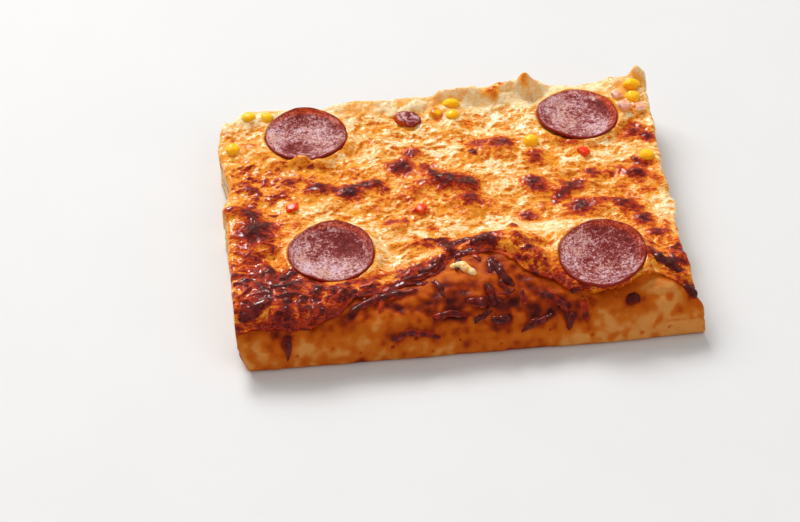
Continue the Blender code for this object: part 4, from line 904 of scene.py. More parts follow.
def rolled_down(x, y, z, u, v, level):
    """Places of the border's rings, rounded down to the bread and tucked in under it."""
    out_x, out_y, front = sides_of(u, v)
    out_y = np.where(front, -1.0, out_y)
    t = np.minimum(level / CHEESE_RINGS, 1.0)
    rise = np.clip(t / 0.45, 0.0, 1.0)
    inset = np.where(front, CHEESE_FRONT_INSET, CHEESE_INSET)
    bulge = np.where(front, 0.35, 0.65 + 0.5 * wave(x, y, 9.0, 6.5) + 0.25 * wave(x, y, 3.0, 8.5))
    out = (inset + bulge) * np.sin(0.5 * math.pi * rise) - (bulge - 0.15) * ramp((t - 0.45) / 0.55)
    low = crust_height(x, y) + GAP + np.where(front, 0.0, sauce_lift(x, y))
    drips = 2.4 * np.clip(wave(x - y, 0.0, 9.0, 53.5) - 0.25, 0.0, 0.6)
    low = low - np.where(front, 0.5, drips)
    drop = 0.42 * (1.0 - np.cos(0.5 * math.pi * rise)) + 0.58 * np.clip((t - 0.45) / 0.55, 0, 1)
    out = np.where(level > 0, out, 0.0) - np.where(level > CHEESE_RINGS, CHEESE_TUCK, 0.0)
    z = np.where(level > 0, z - (z - low) * drop, z)
    z = np.where(level > CHEESE_RINGS + 1, CHEESE_FLOOR, z)
    return x + out_x * out, y + out_y * out, z, np.where(front, 0.0, t)


def build_cheese(sizes, colours):
    """The melted cheese: a fine lumpy top, and sides that round down to the bread."""
    step = sizes.cheese_step / MM
    columns = round(2.0 * HALF_WIDTH / step)
    rows = round((BACK_Y - FRONT_Y - 14.0) / step)
    body = layer_sheet(columns, rows, CHEESE_RINGS + 2)
    chart = cheese_chart(sizes.cheese_relief / MM)
    own = points_of(body)
    u, v = own[:, 0], own[:, 1]
    x, y = plan_of(u, v, ragged_front, CHEESE_INSET)
    z = cheese_level(x, y)
    start = ragged_front(x)
    relief = chart.read(chart.relief, x, y)
    bare = crust_height(x, y) + GAP
    z = bare + (z - bare) * (0.3 + 0.7 * ramp((y - start) / 4.0))
    z = z + relief * (0.4 + 0.6 * ramp((y - start) / 7.0))
    z = pressed(x, y, z, wave(x, y, 5.0, 61.5))
    x, y, z, side = rolled_down(x, y, z, u, v, np.round(-own[:, 2]))
    toast = chart.read(chart.toast, x, y)
    gold = chart.read(chart.gold, x, y)
    warm = 0.25 + 0.2 * wave(x + y, z * 2.0, 7.0, 55.5)
    toast = toast * (1.0 - 0.6 * side) + 0.6 * side * warm
    browned = front_browning(x) + 0.12 * wave(x, y, 5.0, 57.5)
    toast = np.maximum(toast, browned * (1.0 - ramp((y - start - 0.5) / 6.0)))
    for _, cx, cy, _, _, _ in SLICES:
        rim = bump(np.hypot(x - cx, y - cy) - SLICE_RADIUS + 0.3, 1.5)
        toast = np.maximum(toast, rim * (0.42 + 0.2 * wave(x, y, 8.0, 59.5)))
        gold = np.maximum(gold, 0.6 * rim)
    return finish_piece(
        "melted_cheese", body, placed(x, y, z), cheese_material(colours),
        {"toast": toast, "gold": gold, "calm": chart.read(chart.calm, x, y)},
        replaces=("cheese",))


def add_strand(body, surface, points, half_width, height, browning, rng):
    """One baked shred: a closed rounded strand that hugs what it lies on."""
    run = np.array(points, float)
    reach = np.concatenate(([0.0], np.cumsum(np.hypot(*np.diff(run, axis=0).T))))
    length = reach[-1]
    segments = max(14, int(length / STRAND_STEP) + 8)
    verts = bmesh.ops.create_uvsphere(body, u_segments=STRAND_SIDES, v_segments=segments,
                                      radius=1.0)["verts"]
    co = np.array([vert.co[:] for vert in verts])
    theta = np.arccos(np.clip(co[:, 2], -1.0, 1.0))
    share = theta / math.pi
    ring = np.maximum(np.sin(theta), 1e-4)
    across = np.where(ring < 1e-3, 0.0, co[:, 0] / ring)
    up = np.where(ring < 1e-3, 0.0, co[:, 1] / ring)
    at = share * (length + 1.4 * half_width) - 0.7 * half_width
    near = np.clip(at, 0.0, length)
    ahead_x = np.interp(near + 1.2, reach, run[:, 0]) - np.interp(near - 1.2, reach, run[:, 0])
    ahead_y = np.interp(near + 1.2, reach, run[:, 1]) - np.interp(near - 1.2, reach, run[:, 1])
    size = np.maximum(np.hypot(ahead_x, ahead_y), 1e-6)
    ahead_x, ahead_y = ahead_x / size, ahead_y / size
    over = near - at
    x = np.interp(at, reach, run[:, 0]) - ahead_x * over
    y = np.interp(at, reach, run[:, 1]) - ahead_y * over
    seed = rng.uniform(0.0, 90.0)
    power = 2.0 + 1.2 * min(max((length / half_width - 2.0) / 6.0, 0.0), 1.0)
    taper = (1.0 - np.abs(2.0 * share - 1.0) ** power) ** (1.0 / 2.1)
    swell = 1.0 + 0.28 * wave(at, 0.0, 3.5, seed) + 0.12 * wave(at, up * 2.0, 1.6, seed + 2.0)
    wide = half_width * taper * swell
    sway = 0.5 * wave(at, 0.0, 5.0, seed + 5.0)
    z = surface(x, y)
    slope_x = (surface(x + SLOPE_STEP, y) - surface(x - SLOPE_STEP, y)) / (2.0 * SLOPE_STEP)
    slope_y = (surface(x, y + SLOPE_STEP) - surface(x, y - SLOPE_STEP)) / (2.0 * SLOPE_STEP)
    normal = np.stack((-slope_x, -slope_y, np.ones_like(x)), axis=1)
    normal /= np.linalg.norm(normal, axis=1)[:, None]
    along = np.stack((ahead_x, ahead_y, np.zeros_like(x)), axis=1)
    along -= normal * np.sum(along * normal, axis=1)[:, None]
    along /= np.linalg.norm(along, axis=1)[:, None]
    side = np.cross(normal, along)
    rise = np.where(up > 0.0, height * taper * swell * up, 0.6 * half_width * up * taper)
    places = np.stack((x, y, z), axis=1)
    places += side * (wide * across + sway)[:, None] + normal * rise[:, None]
    toast = browning + 0.14 * wave(at, up * 2.0, 2.4, seed + 9.0)
    toast = toast - 0.3 * (1.0 - ramp(1.5 * up)) * ramp((browning - 0.4) / 0.3)
    toast = np.clip(toast, 0.05, 1.0)
    layer = body.verts.layers.float["toast"]
    for vert, place, value in zip(verts, placed(*places.T).tolist(), toast.tolist()):
        vert.co = place
        vert[layer] = value


def bread_and_cheese(x, y):
    """Top of the slice: the bread in front, the cheese behind its own edge."""
    bare = crust_height(x, y)
    return np.where(y > cheese_front(x) + 1.0, cheese_level(x, y) - 0.3, bare)


def build_shreds(colours):
    """The baked shreds on rim and cheese, the large ones and the small ones between them."""
    body = bmesh.new()
    body.verts.layers.float.new("toast")
    rng = random.Random(23)
    for carrier, half_width, height, browning, points in SHREDS:
        surface = crust_height if carrier == "crust" else bread_and_cheese
        add_strand(body, surface, points, half_width * SHRED_SWELL, height, browning, rng)
    for cx, cy, spread_x, spread_y, count, browning in SHRED_ZONES:
        for _ in range(count):
            x = min(max(rng.gauss(cx, 0.55 * spread_x), -97.0), 95.0)
            y = min(rng.gauss(cy, 0.55 * spread_y), -28.0)
            y = max(y, float(front_y(x)) + 5.0)
            points = strand_points(rng, x, y, rng.uniform(4.0, 11.0),
                                   rng.gauss(-0.5 * math.pi, 1.0))
            points = [(min(max(px, -98.0), 95.0), max(py, float(front_y(px)) + 3.5))
                      for px, py in points]
            add_strand(body, bread_and_cheese, points, rng.uniform(0.9, 1.7),
                       rng.uniform(0.4, 0.8), browning + rng.uniform(-0.15, 0.15), rng)
    return finish_piece("baked_shreds", body, None, shred_material(colours))


def build_slice(colours, number, name, cx, cy, cup, curl, toward):
    """One cupped slice of pepperoni with a thin browned edge and a pitted face."""
    body = bmesh.new()
    bmesh.ops.create_uvsphere(body, u_segments=SLICE_SEGMENTS[0], v_segments=SLICE_SEGMENTS[1],
                              radius=1.0)
    co = points_of(body)
    theta = np.arccos(np.clip(co[:, 2], -1.0, 1.0)) / math.pi
    around = np.arctan2(co[:, 1], co[:, 0])
    stops = (0.0, 0.44, 0.47, 0.5, 0.53, 0.56, 1.0)
    share = np.interp(theta, stops, (0.0, 0.955, 0.988, 1.0, 0.992, 0.965, 0.0))
    side = np.interp(theta, stops, (1.0, 1.0, 0.9, 0.5, 0.12, 0.0, 0.0))
    edge = SLICE_RADIUS * (1.0 + 0.014 * np.sin(3.0 * around + cx))
    edge = edge + 0.16 * wave(np.cos(around) * 9.0, np.sin(around) * 9.0, 2.2, cx)
    x = cx + edge * share * np.cos(around)
    y = cy + edge * share * np.sin(around)
    lean = np.maximum(np.cos(around - math.radians(toward)), 0.0) ** 1.5
    lift = curl * lean * share ** 4 + 0.25 * share ** 2 * (1.0 + np.sin(5.0 * around))
    z = slice_under(name, cx, cy, cup, x, y) + lift
    face = ramp((side - 0.5) / 0.5)
    thick = SLICE_THICK * (1.0 - 0.2 * ramp((share - 0.8) / 0.2))
    rings = 0.03 * np.sin(share * 34.0 + 2.0 * wave(x, y, 7.0, cx + 1.0))
    pits = 0.1 * wave(x, y, 2.2, cx + 3.0)
    dents = -0.3 * np.clip(wave(x, y, 3.2, cx + 7.0) - 0.35, 0.0, 0.5)
    brim = 0.1 * bump(share - 0.955, 0.03)
    z = z + side * thick + face * (rings + pits * (share < 0.97) + dents + brim)
    bent_x = x - cx + 1.4 * wave(x, y, 3.5, cx + 13.0)
    bent_y = y - cy + 1.4 * wave(x, y, 3.5, cx + 15.0)
    # Tone of the face: random, plus the patches, which carry painted sheen and a painted shadow
    shade = 0.25 * wave(x, y, 6.0, cx + 17.0)
    for owner, px, py, radius, value in PATCHES:
        if owner == number:
            shade = shade + value * bump(np.hypot(bent_x - px, bent_y - py), radius)
    rim = ramp((share - 0.93 + 0.02 * wave(x, y, 4.0, cx + 19.0)) / 0.05)
    glowing = np.maximum(np.cos(around - math.radians(GLOWS[number][0])), 0.0) ** 1.5
    wall = GLOWS[number][1] * glowing * ramp((share - 0.76) / 0.12) * face
    arcs = wave_3d(np.cos(around) * 4.0, np.sin(around) * 4.0, share * 17.0, 1.0, cx)
    mottle = 0.55 * arcs + 0.7 * wave(bent_x, bent_y, 1.5, cx + 21.0)
    mottle = mottle + 0.4 * wave(x, y, 0.8, cx + 23.0)
    return finish_piece(
        "baked_" + name, body, placed(x, y, z), pepperoni_material(colours),
        {"rim": rim, "mottle": mottle, "shade": np.clip(shade, -2.0, 1.3), "wall": wall},
        replaces=(name,))


def seated(x, y, turn, lift, u, v, w):
    """Places of a topping's own points once it is turned and set on the cheese at x, y."""
    angle = math.radians(turn)
    made_x = x + u * math.cos(angle) - v * math.sin(angle)
    made_y = y + u * math.sin(angle) + v * math.cos(angle)
    return placed(made_x, made_y, float(cheese_level(x, y)) + lift + w)


def rounded_piece(name, x, y, turn, half, lift, material, shape, values, node):
    """A small rounded topping, shaped on its own axes and turned to its place."""
    body = bmesh.new()
    bmesh.ops.create_icosphere(body, subdivisions=TOPPING_SUBDIVISIONS, radius=1.0)
    co = points_of(body)
    u, v, w = shape(*co.T)
    places = seated(x, y, turn, lift, u * half[0], v * half[1], w * half[2])
    return finish_piece(name, body, places, material, values(co), replaces=(node,))


def build_kernels(colours):
    """The corn kernels: plump, drawn in at one end and dimpled on top."""
    made = []
    material = corn_material(colours)
    for number, (x, y, turn, lift, browned) in enumerate(KERNELS, 1):

        def shape(u, v, w, seed=float(number) * 3.7):
            narrow = 1.0 - 0.16 * np.maximum(u, 0.0) ** 2
            dimple = 0.08 * np.maximum(w, 0.0) * bump(np.hypot(u - 0.05, v), 0.5)
            puckers = 0.05 * wave_3d(u, v, w, 0.7, seed) + 0.02 * wave_3d(u, v, w, 0.25, seed)
            swell = 1.0 + puckers
            return u * swell, v * narrow * swell, (w - dimple) * swell

        def values(co, angle=math.radians(turn), browned=browned, seed=float(number)):
            blotches = np.clip(0.6 + 0.7 * wave_3d(*co.T, 0.9, seed), 0.0, 1.0)
            # Painted shade: the side of the kernel turned from the light gets the deeper colour
            front = co[:, 0] * math.sin(angle) + co[:, 1] * math.cos(angle)
            away = np.clip(0.35 - 0.75 * front - 0.65 * co[:, 2], 0.0, 1.0)
            return {"toast": browned * blotches, "away": away}

        node = f"corn_kernel_{number}"
        made.append(rounded_piece(node + "_skin", x, y, turn, KERNEL, lift, material,
                                  shape, values, node))
    return made


def build_chip(colours):
    """The browned chip of sausage, flat and uneven."""
    x, y, turn, lift = CHIPS[0]

    def shape(u, v, w):
        lumps = 0.06 * wave_3d(u, v, w, 0.7, 4.5) + 0.03 * wave_3d(u, v, w, 0.25, 6.5)
        flat = np.sign(w) * np.abs(w) ** 0.75
        return u * (1.0 + lumps), v * (1.0 + lumps), flat * (0.93 + lumps)

    def values(co):
        rim = np.clip(1.1 - 1.5 * co[:, 2], 0.0, 1.0)
        wall = np.clip(0.5 - 1.2 * co[:, 0] - 0.8 * co[:, 1], 0.0, 1.0) * np.clip(rim * 2.0, 0, 1)
        return {"rim": rim * (1.0 - wall), "wall": wall,
                "mottle": wave_3d(*co.T, 0.16, 6.5), "shade": wave_3d(*co.T, 0.4, 8.5)}

    return rounded_piece("sausage_chip_skin", x, y, turn, CHIP, lift, pepperoni_material(colours),
                         shape, values, "sausage_chip_1")


def build_block(name, node, x, y, turn, size, lift, softness, material, seed):
    """A small cut cube with soft worn edges and a slightly bulging skin."""
    body = bmesh.new()
    bmesh.ops.create_cube(body, size=1.0)
    bmesh.ops.scale(body, vec=Vector(size), verts=body.verts)
    for vert in body.verts:
        if vert.co.z > 0.0:
            vert.co.x *= 0.9
            vert.co.y *= 0.93
    bmesh.ops.bevel(body, geom=body.edges[:], offset=0.2 * min(size), segments=4,
                    affect="EDGES", profile=0.5, material=-1)
    bmesh.ops.subdivide_edges(body, edges=body.edges[:], cuts=3, use_grid_fill=True)
    bmesh.ops.smooth_vert(body, verts=body.verts, factor=softness,
                          use_axis_x=True, use_axis_y=True, use_axis_z=True)
    co = points_of(body)
    push = 1.0 + 0.13 * wave_3d(*co.T, 2.8, seed) + 0.04 * wave_3d(*co.T, 1.0, seed + 2.0)
    places = seated(x, y, turn, lift, *(co * push[:, None]).T)
    return finish_piece(name, body, places, material, replaces=(node,))


class Tree:
    """Short calls that fill a shader tree."""

    def __init__(self, tree):
        self.tree = tree
        self.count = 0

    def add(self, kind, settings=None, inputs=None):
        """A node with its settings, its inputs linked or set."""
        node = self.tree.nodes.new(kind)
        node.location = (220 * (self.count % 9), -260 * (self.count // 9))
        self.count += 1
        for key, value in (settings or {}).items():
            setattr(node, key, value)
        for key, value in (inputs or {}).items():
            if isinstance(value, bpy.types.NodeSocket):
                self.tree.links.new(value, node.inputs[key])
            else:
                node.inputs[key].default_value = value
        return node

    def sum_of(self, operation, first, second=0.0, third=0.0, clamp=False):
        """Arithmetic on one to three values."""
        node = self.add("ShaderNodeMath", {"operation": operation, "use_clamp": clamp},
                        {0: first, 1: second, 2: third})
        return node.outputs[0]

    def value_of(self, name):
        """One of the piece's own values over its surface."""
        node = self.add("ShaderNodeAttribute", {"attribute_name": name})
        return node.outputs["Fac"]

    def place(self):
        """Object coordinates in millimetres."""
        at = self.add("ShaderNodeTexCoord").outputs["Object"]
        return self.add("ShaderNodeVectorMath", {"operation": "SCALE"},
                        {0: at, "Scale": 1000.0}).outputs[0]

    def clouds(self, at, size, detail=3.0, roughness=0.55, distortion=0.0):
        """Soft noise with features of the given size in millimetres."""
        node = self.add("ShaderNodeTexNoise", {}, {"Vector": at, "Scale": 1.0 / size,
                                                  "Detail": detail, "Roughness": roughness,
                                                  "Distortion": distortion})
        return node.outputs["Fac"]

    def cells(self, at, size):
        """Distance to scattered points about the given size apart in millimetres."""
        node = self.add("ShaderNodeTexVoronoi", {"feature": "F1"},
                        {"Vector": at, "Scale": 1.0 / size})
        return node.outputs["Distance"]

    def between(self, value, low, high, to_low=0.0, to_high=1.0):
        """A smooth step from one value to another."""
        node = self.add("ShaderNodeMapRange", {"interpolation_type": "SMOOTHSTEP"},
                        {"Value": value, "From Min": low, "From Max": high,
                         "To Min": to_low, "To Max": to_high})
        return node.outputs["Result"]

    def blend(self, share, first, second, mode="MIX"):
        """Two colours mixed by a share."""
        node = self.add("ShaderNodeMix", {"data_type": "RGBA", "blend_type": mode},
                        {0: share, 6: first, 7: second})
        return node.outputs[2]

    def scale_of_colours(self, value, stops):
        """Colour read off a scale."""
        node = self.add("ShaderNodeValToRGB", {}, {"Fac": value})
        band = node.color_ramp
        while len(band.elements) < len(stops):
            band.elements.new(0.5)
        for element, (position, shade) in zip(band.elements, stops):
            element.position = position
            element.color = (*shade, 1.0)
        return node.outputs["Color"]

    def relief(self, strength, distance, height):
        """Normal of a fine relief."""
        node = self.add("ShaderNodeBump", {}, {"Strength": strength, "Distance": distance,
                                               "Height": height})
        return node.outputs["Normal"]


def new_group(name, inputs, outputs):
    """A node group with named sockets of the given kinds, and its shader tree."""
    group = bpy.data.node_groups.new(name, "ShaderNodeTree")
    for in_out, sockets in (("INPUT", inputs), ("OUTPUT", outputs)):
        for socket, kind in sockets.items():
            group.interface.new_socket(socket, in_out=in_out, socket_type="NodeSocket" + kind)
    return group, Tree(group)


def grain_group():
    """Node group: fine grain of baked food, as a height and as sparse dark flecks."""
    found = bpy.data.node_groups.get("Fine grain")
    if found:
        return found
    group, tree = new_group("Fine grain", {"Vector": "Vector", "Size": "Float"},
                            {"Height": "Float", "Flecks": "Float"})
    source = tree.add("NodeGroupInput")
    at = tree.add("ShaderNodeVectorMath", {"operation": "DIVIDE"},
                  {0: source.outputs["Vector"], 1: source.outputs["Size"]}).outputs[0]
    pits = tree.between(tree.cells(at, 0.9), 0.0, 0.42)
    height = tree.sum_of("MULTIPLY_ADD", tree.clouds(at, 0.55, 2.0, 0.6), 0.55,
                         tree.clouds(at, 1.6, 2.0, 0.6))
    height = tree.sum_of("MULTIPLY_ADD", pits, 0.35, height)
    patches = tree.between(tree.clouds(at, 5.0, 2.0), 0.45, 0.62)
    dots = tree.between(tree.cells(at, 0.85), 0.3, 0.16)
    flecks = tree.sum_of("MULTIPLY", dots, patches, clamp=True)
    tree.add("NodeGroupOutput", {}, {"Height": height, "Flecks": flecks})
    return group


def toasting_group(colours):
    """Node group: colour, roughness and gloss of cheese from pale to burnt."""
    found = bpy.data.node_groups.get("Toasting")
    if found:
        return found
    group, tree = new_group(
        "Toasting", {"Toast": "Float", "Gold": "Float", "Flecks": "Float", "Ash": "Float"},
        {"Color": "Color", "Roughness": "Float", "Gloss": "Float"})
    source = tree.add("NodeGroupInput")
    toast = source.outputs["Toast"]
    base = tree.scale_of_colours(toast, (
        (0.0, colours.cheese_cream), (0.1, colours.cheese_pale), (0.25, colours.cheese_golden),
        (0.37, colours.cheese_toasted), (0.48, colours.cheese_amber), (0.59, colours.cheese_red),
        (0.71, colours.cheese_brown), (0.87, colours.cheese_burnt),
        (1.0, [0.5 * part for part in colours.cheese_burnt])))
    # Painted sheen: a pale lilac speckle on the burnt tops stands in for their shine
    sheen_speckle = tree.sum_of("MULTIPLY", source.outputs["Ash"], tree.between(toast, 0.84, 1.0, 0.0, 0.5))
    base = tree.blend(sheen_speckle, base, (*colours.cheese_sheen_speckle, 1.0))
    fade = tree.between(toast, 0.62, 0.35)
    share = tree.sum_of("MULTIPLY", source.outputs["Gold"], fade, clamp=True)
    share = tree.sum_of("MULTIPLY", share, 0.85)
    base = tree.blend(share, base, (*colours.cheese_pool, 1.0))
    flecked = tree.sum_of("MULTIPLY", source.outputs["Flecks"],
                          tree.between(toast, 0.05, 0.3, 0.25, 0.8))
    base = tree.blend(flecked, base, (*colours.cheese_amber, 1.0), "MULTIPLY")
    rough = tree.between(toast, 0.1, 0.95, 0.55, 0.45)
    rough = tree.sum_of("MULTIPLY_ADD", share, -0.15, rough)
    gloss = tree.between(toast, 0.75, 0.3, 0.12, 0.22)
    gloss = tree.sum_of("MULTIPLY_ADD", share, 0.08, gloss, clamp=True)
    tree.add("NodeGroupOutput", {}, {"Color": base, "Roughness": rough, "Gloss": gloss})
    return group


def new_material(name):
    """A blank material, its shader tree and its coordinates in millimetres."""
    material = bpy.data.materials.new(name)
    material.use_nodes = True
    tree = Tree(material.node_tree)
    return material, tree, tree.place()


def finish_shader(material, feeds, coat, specular, flesh):
    """Join what changes over the surface to the shader, and set what is the same all over.

    coat is weight and roughness, flesh is weight, depth and how far each colour goes.
    """
    shader = material.node_tree.nodes["Principled BSDF"]
    for key, socket in feeds.items():
        material.node_tree.links.new(socket, shader.inputs[key])
    if "Coat Weight" not in feeds:
        shader.inputs["Coat Weight"].default_value = coat[0]
    shader.inputs["Coat Roughness"].default_value = coat[1]
    shader.inputs["Specular IOR Level"].default_value = specular
    shader.inputs["Subsurface Weight"].default_value = flesh[0]
    shader.inputs["Subsurface Scale"].default_value = flesh[1]
    shader.inputs["Subsurface Radius"].default_value = flesh[2]
    return material


def cheese_like(name, colours, grain_size, bump_strength, unevenness, sheen_speckle, sheen):
    """Material of melted cheese whose browning follows the piece's own values."""
    material, tree, at = new_material(name)
    grain = tree.add("ShaderNodeGroup", {"node_tree": grain_group()},
                     {"Vector": at, "Size": grain_size})
    baked = tree.value_of("toast")
    flow = tree.add("ShaderNodeVectorMath", {"operation": "MULTIPLY"},
                    {0: at, 1: (0.55, 1.0, 1.0)}).outputs[0]
    cloud = tree.between(tree.clouds(flow, 1.5, 4.0, 0.68, 0.9), 0.36, 0.64, -1.0, 1.0)
    reach = tree.between(baked, 0.2, 0.6, unevenness, 0.7 * unevenness)
    reach = tree.sum_of("MULTIPLY", reach,
                        tree.between(tree.value_of("calm"), 0.0, 1.0, 1.0, 0.25))
    toast = tree.sum_of("MULTIPLY_ADD", cloud, reach, baked)
    speck = tree.sum_of("SUBTRACT", grain.outputs["Height"], 0.95)
    toast = tree.sum_of("MULTIPLY_ADD", speck, -unevenness, toast)
    cooked = tree.add("ShaderNodeGroup", {"node_tree": toasting_group(colours)},
                      {"Toast": toast, "Gold": tree.value_of("gold"),
                       "Flecks": grain.outputs["Flecks"],
                       "Ash": tree.between(tree.clouds(at, 1.1, 3.0, 0.7), 0.52, 0.62, 0.0, sheen_speckle)})
    wet = tree.between(tree.clouds(at, 2.2, 3.0, 0.6), 0.47, 0.55)
    wet = tree.sum_of("MULTIPLY", wet, tree.between(baked, 0.3, 0.75, 0.12, 0.45))
    gloss = tree.sum_of("MULTIPLY_ADD", cooked.outputs["Gloss"], sheen, wet, clamp=True)
    return finish_shader(
        material, {"Base Color": cooked.outputs["Color"], "Coat Weight": gloss,
                   "Roughness": cooked.outputs["Roughness"],
                   "Normal": tree.relief(bump_strength, 0.0007, grain.outputs["Height"])},
        coat=(0.0, 0.07), specular=0.1, flesh=(0.4, 0.0028, (1.0, 0.4, 0.12)))


def cheese_material(colours):
    """The melted cheese itself."""
    return cheese_like("Melted cheese", colours, 0.8, 0.9, 0.19, 0.3, 1.0)


def shred_material(colours):
    """Shreds of cheese baked hard: smoother in colour and shinier."""
    return cheese_like("Baked shreds", colours, 1.4, 0.25, 0.07, 0.15, 1.5)


def bread_material(colours):
    """Baked bread: skin from tan to dark brown, pale open crumb on the cut sides."""
    material, tree, at = new_material("Baked bread")
    grain = tree.add("ShaderNodeGroup", {"node_tree": grain_group()},
                     {"Vector": at, "Size": 1.3})
    cloud = tree.sum_of("SUBTRACT", tree.clouds(at, 3.2, 4.0, 0.6), 0.5)
    bake = tree.sum_of("MULTIPLY_ADD", cloud, 0.4, tree.value_of("bake"))
    bake = tree.sum_of("MULTIPLY_ADD", grain.outputs["Flecks"], 0.06, bake)
    skin = tree.scale_of_colours(bake, (
        (0.0, colours.bread_floury), (0.2, colours.bread_tan), (0.42, colours.bread_golden),
        (0.62, colours.bread_brown), (0.82, colours.bread_dark),
        (1.0, [0.4 * part for part in colours.bread_dark])))
    # Painted shade: the crumb is darker in its holes
    hole = tree.between(tree.value_of("hole"), 0.02, 0.6)
    crumb = tree.blend(hole, (*colours.crumb, 1.0), (*(0.72 * c for c in colours.crumb), 1.0))
    rough = tree.between(bake, 0.2, 0.85, 0.62, 0.34)
    rough = tree.sum_of("MULTIPLY_ADD", tree.value_of("crumb"), 0.3, rough, clamp=True)
    return finish_shader(
        material, {"Base Color": tree.blend(tree.value_of("crumb"), skin, crumb),
                   "Roughness": rough, "Coat Weight": tree.between(bake, 0.45, 0.9, 0.0, 0.15),
                   "Normal": tree.relief(0.5, 0.00035, grain.outputs["Height"])},
        coat=(0.0, 0.16), specular=0.08, flesh=(0.1, 0.0015, (1.0, 0.5, 0.25)))


def pepperoni_material(colours):
    """Baked pepperoni: mottled dark red meat with pale fat, a browned edge, a dried oily face
    whose pale lilac is partly painted sheen, and an orange-red inside of the curled edge that is
    partly oil and partly painted glow.
    """
    found = bpy.data.materials.get("Baked pepperoni")
    if found:
        return found
    material, tree, at = new_material("Baked pepperoni")
    grain = tree.add("ShaderNodeGroup", {"node_tree": grain_group()},
                     {"Vector": at, "Size": 0.75})
    mottle = tree.clouds(at, 0.7, 4.0, 0.7)
    mottle = tree.sum_of("MULTIPLY_ADD", tree.value_of("mottle"), 0.15, mottle)
    shade = tree.value_of("shade")
    # Paler where this value is low, which is where the patches paint sheen
    tone = tree.sum_of("MULTIPLY_ADD", shade, -0.22, mottle)
    # Painted sheen in part: the palest tones of the face are lilac and tan
    film_and_sheen = tree.blend(tree.between(tree.clouds(at, 9.0, 2.0), 0.4, 0.6),
                      (*colours.film_and_sheen, 1.0), (*colours.tan_film_and_sheen, 1.0))
    meat = tree.scale_of_colours(tone, (
        (0.2, [0.5 * part for part in colours.meat]), (0.42, colours.meat), (0.62, colours.fat)))
    meat = tree.blend(tree.between(tone, 0.48, 0.82), meat, film_and_sheen)
    pits = tree.sum_of("MULTIPLY", tree.between(tree.cells(at, 1.1), 0.26, 0.1), 0.5)
    meat = tree.blend(pits, meat, (*(0.25 * part for part in colours.meat), 1.0))
    # Partly painted light: the inside of the curled edge glows orange-red, as light through the
    # thin edge would, over its oil
    glow = tree.scale_of_colours(mottle, ((0.36, colours.slice_edge), (0.62, colours.slice_oil_glow)))
    meat = tree.blend(tree.value_of("wall"), meat, glow)
    base = tree.blend(tree.value_of("rim"), meat, (*colours.slice_edge, 1.0))
    return finish_shader(
        material, {"Base Color": base, "Roughness": tree.between(mottle, 0.3, 0.7, 0.55, 0.36),
                   "Coat Weight": tree.between(shade, 0.8, -0.6, 0.02, 0.2),
                   "Normal": tree.relief(0.7, 0.0007, grain.outputs["Height"])},
        coat=(0.0, 0.3), specular=0.12, flesh=(0.05, 0.001, (1.0, 0.3, 0.2)))


def corn_material(colours):
    """Corn skin: glossy yellow, deeper away from the light, browned where the oven caught it."""
    material, tree, at = new_material("Sweet corn")
    cloud = tree.clouds(at, 2.6, 3.0)
    base = tree.blend(tree.between(cloud, 0.3, 0.7), (*colours.corn, 1.0),
                      (*colours.corn_light, 1.0))
    base = tree.blend(tree.value_of("away"), base, (*colours.corn_deep, 1.0))
    toast = tree.sum_of("MULTIPLY_ADD", tree.sum_of("SUBTRACT", cloud, 0.5), 0.5,
                        tree.value_of("toast"))
    base = tree.blend(tree.between(toast, 0.15, 0.8), base, (*colours.cheese_amber, 1.0))
    return finish_shader(
        material, {"Base Color": base, "Roughness": tree.between(cloud, 0.3, 0.7, 0.24, 0.38),
                   "Normal": tree.relief(0.25, 0.0003, tree.clouds(at, 0.9, 3.0))},
        coat=(0.2, PLAIN_COAT), specular=0.15, flesh=(0.6, 0.003, (1.0, 0.7, 0.1)))


def mottled(name, first, second, cloud, mix, rough, relief, **fixed):
    """A material of two colours that run into each other under a fine uneven skin."""
    material, tree, at = new_material(name)
    cloud = tree.clouds(at, *cloud)
    base = tree.blend(tree.between(cloud, *mix), (*first, 1.0), (*second, 1.0))
    strength, distance, size = relief
    return finish_shader(
        material, {"Base Color": base, "Roughness": tree.between(cloud, 0.3, 0.7, *rough),
                   "Normal": tree.relief(strength, distance, tree.clouds(at, size, 3.0))},
        **fixed)


def ham_material(colours):
    """Cooked ham: pink lean with paler fat running through it."""
    return mottled("Cooked ham", colours.ham, colours.ham_fat, cloud=(2.6, 3.0, 0.5),
                   mix=(0.4, 0.7), rough=(0.32, 0.5), relief=(0.4, 0.0003, 0.7),
                   coat=(0.15, PLAIN_COAT), specular=0.15,
                   flesh=(0.3, 0.0016, (1.0, 0.45, 0.35)))


def pepper_material(colours):
    """Red pepper: shiny skin running in patches into duller, more orange flesh."""
    return mottled("Red pepper", colours.pepper, colours.pepper_flesh, cloud=(2.2, 3.0),
                   mix=(0.35, 0.65), rough=(0.2, 0.4), relief=(0.3, 0.0003, 0.8),
                   coat=(0.25, PLAIN_COAT), specular=0.2,
                   flesh=(0.15, 0.001, (1.0, 0.2, 0.1)))


def sauce_material(colours):
    """Baked tomato sauce, moist and uneven."""
    return mottled("Tomato sauce", colours.sauce, [1.7 * part for part in colours.sauce],
                   cloud=(2.4, 4.0, 0.65), mix=(0.3, 0.7), rough=(0.3, 0.5),
                   relief=(0.6, 0.0005, 0.9), coat=(0.3, PLAIN_COAT), specular=0.5,
                   flesh=(0.0, 0.05, (1.0, 0.2, 0.1)))


def floor_material(colours):
    """Plain matt table top with a barely visible unevenness."""
    material, tree, at = new_material("Pale table")
    shader = material.node_tree.nodes["Principled BSDF"]
    base = tree.blend(tree.between(tree.clouds(at, 60.0, 3.0), 0.3, 0.7),
                      (*colours.table, 1.0), (*(0.985 * part for part in colours.table), 1.0))
    material.node_tree.links.new(base, shader.inputs["Base Color"])
    shader.inputs["Roughness"].default_value = 0.6
    return material


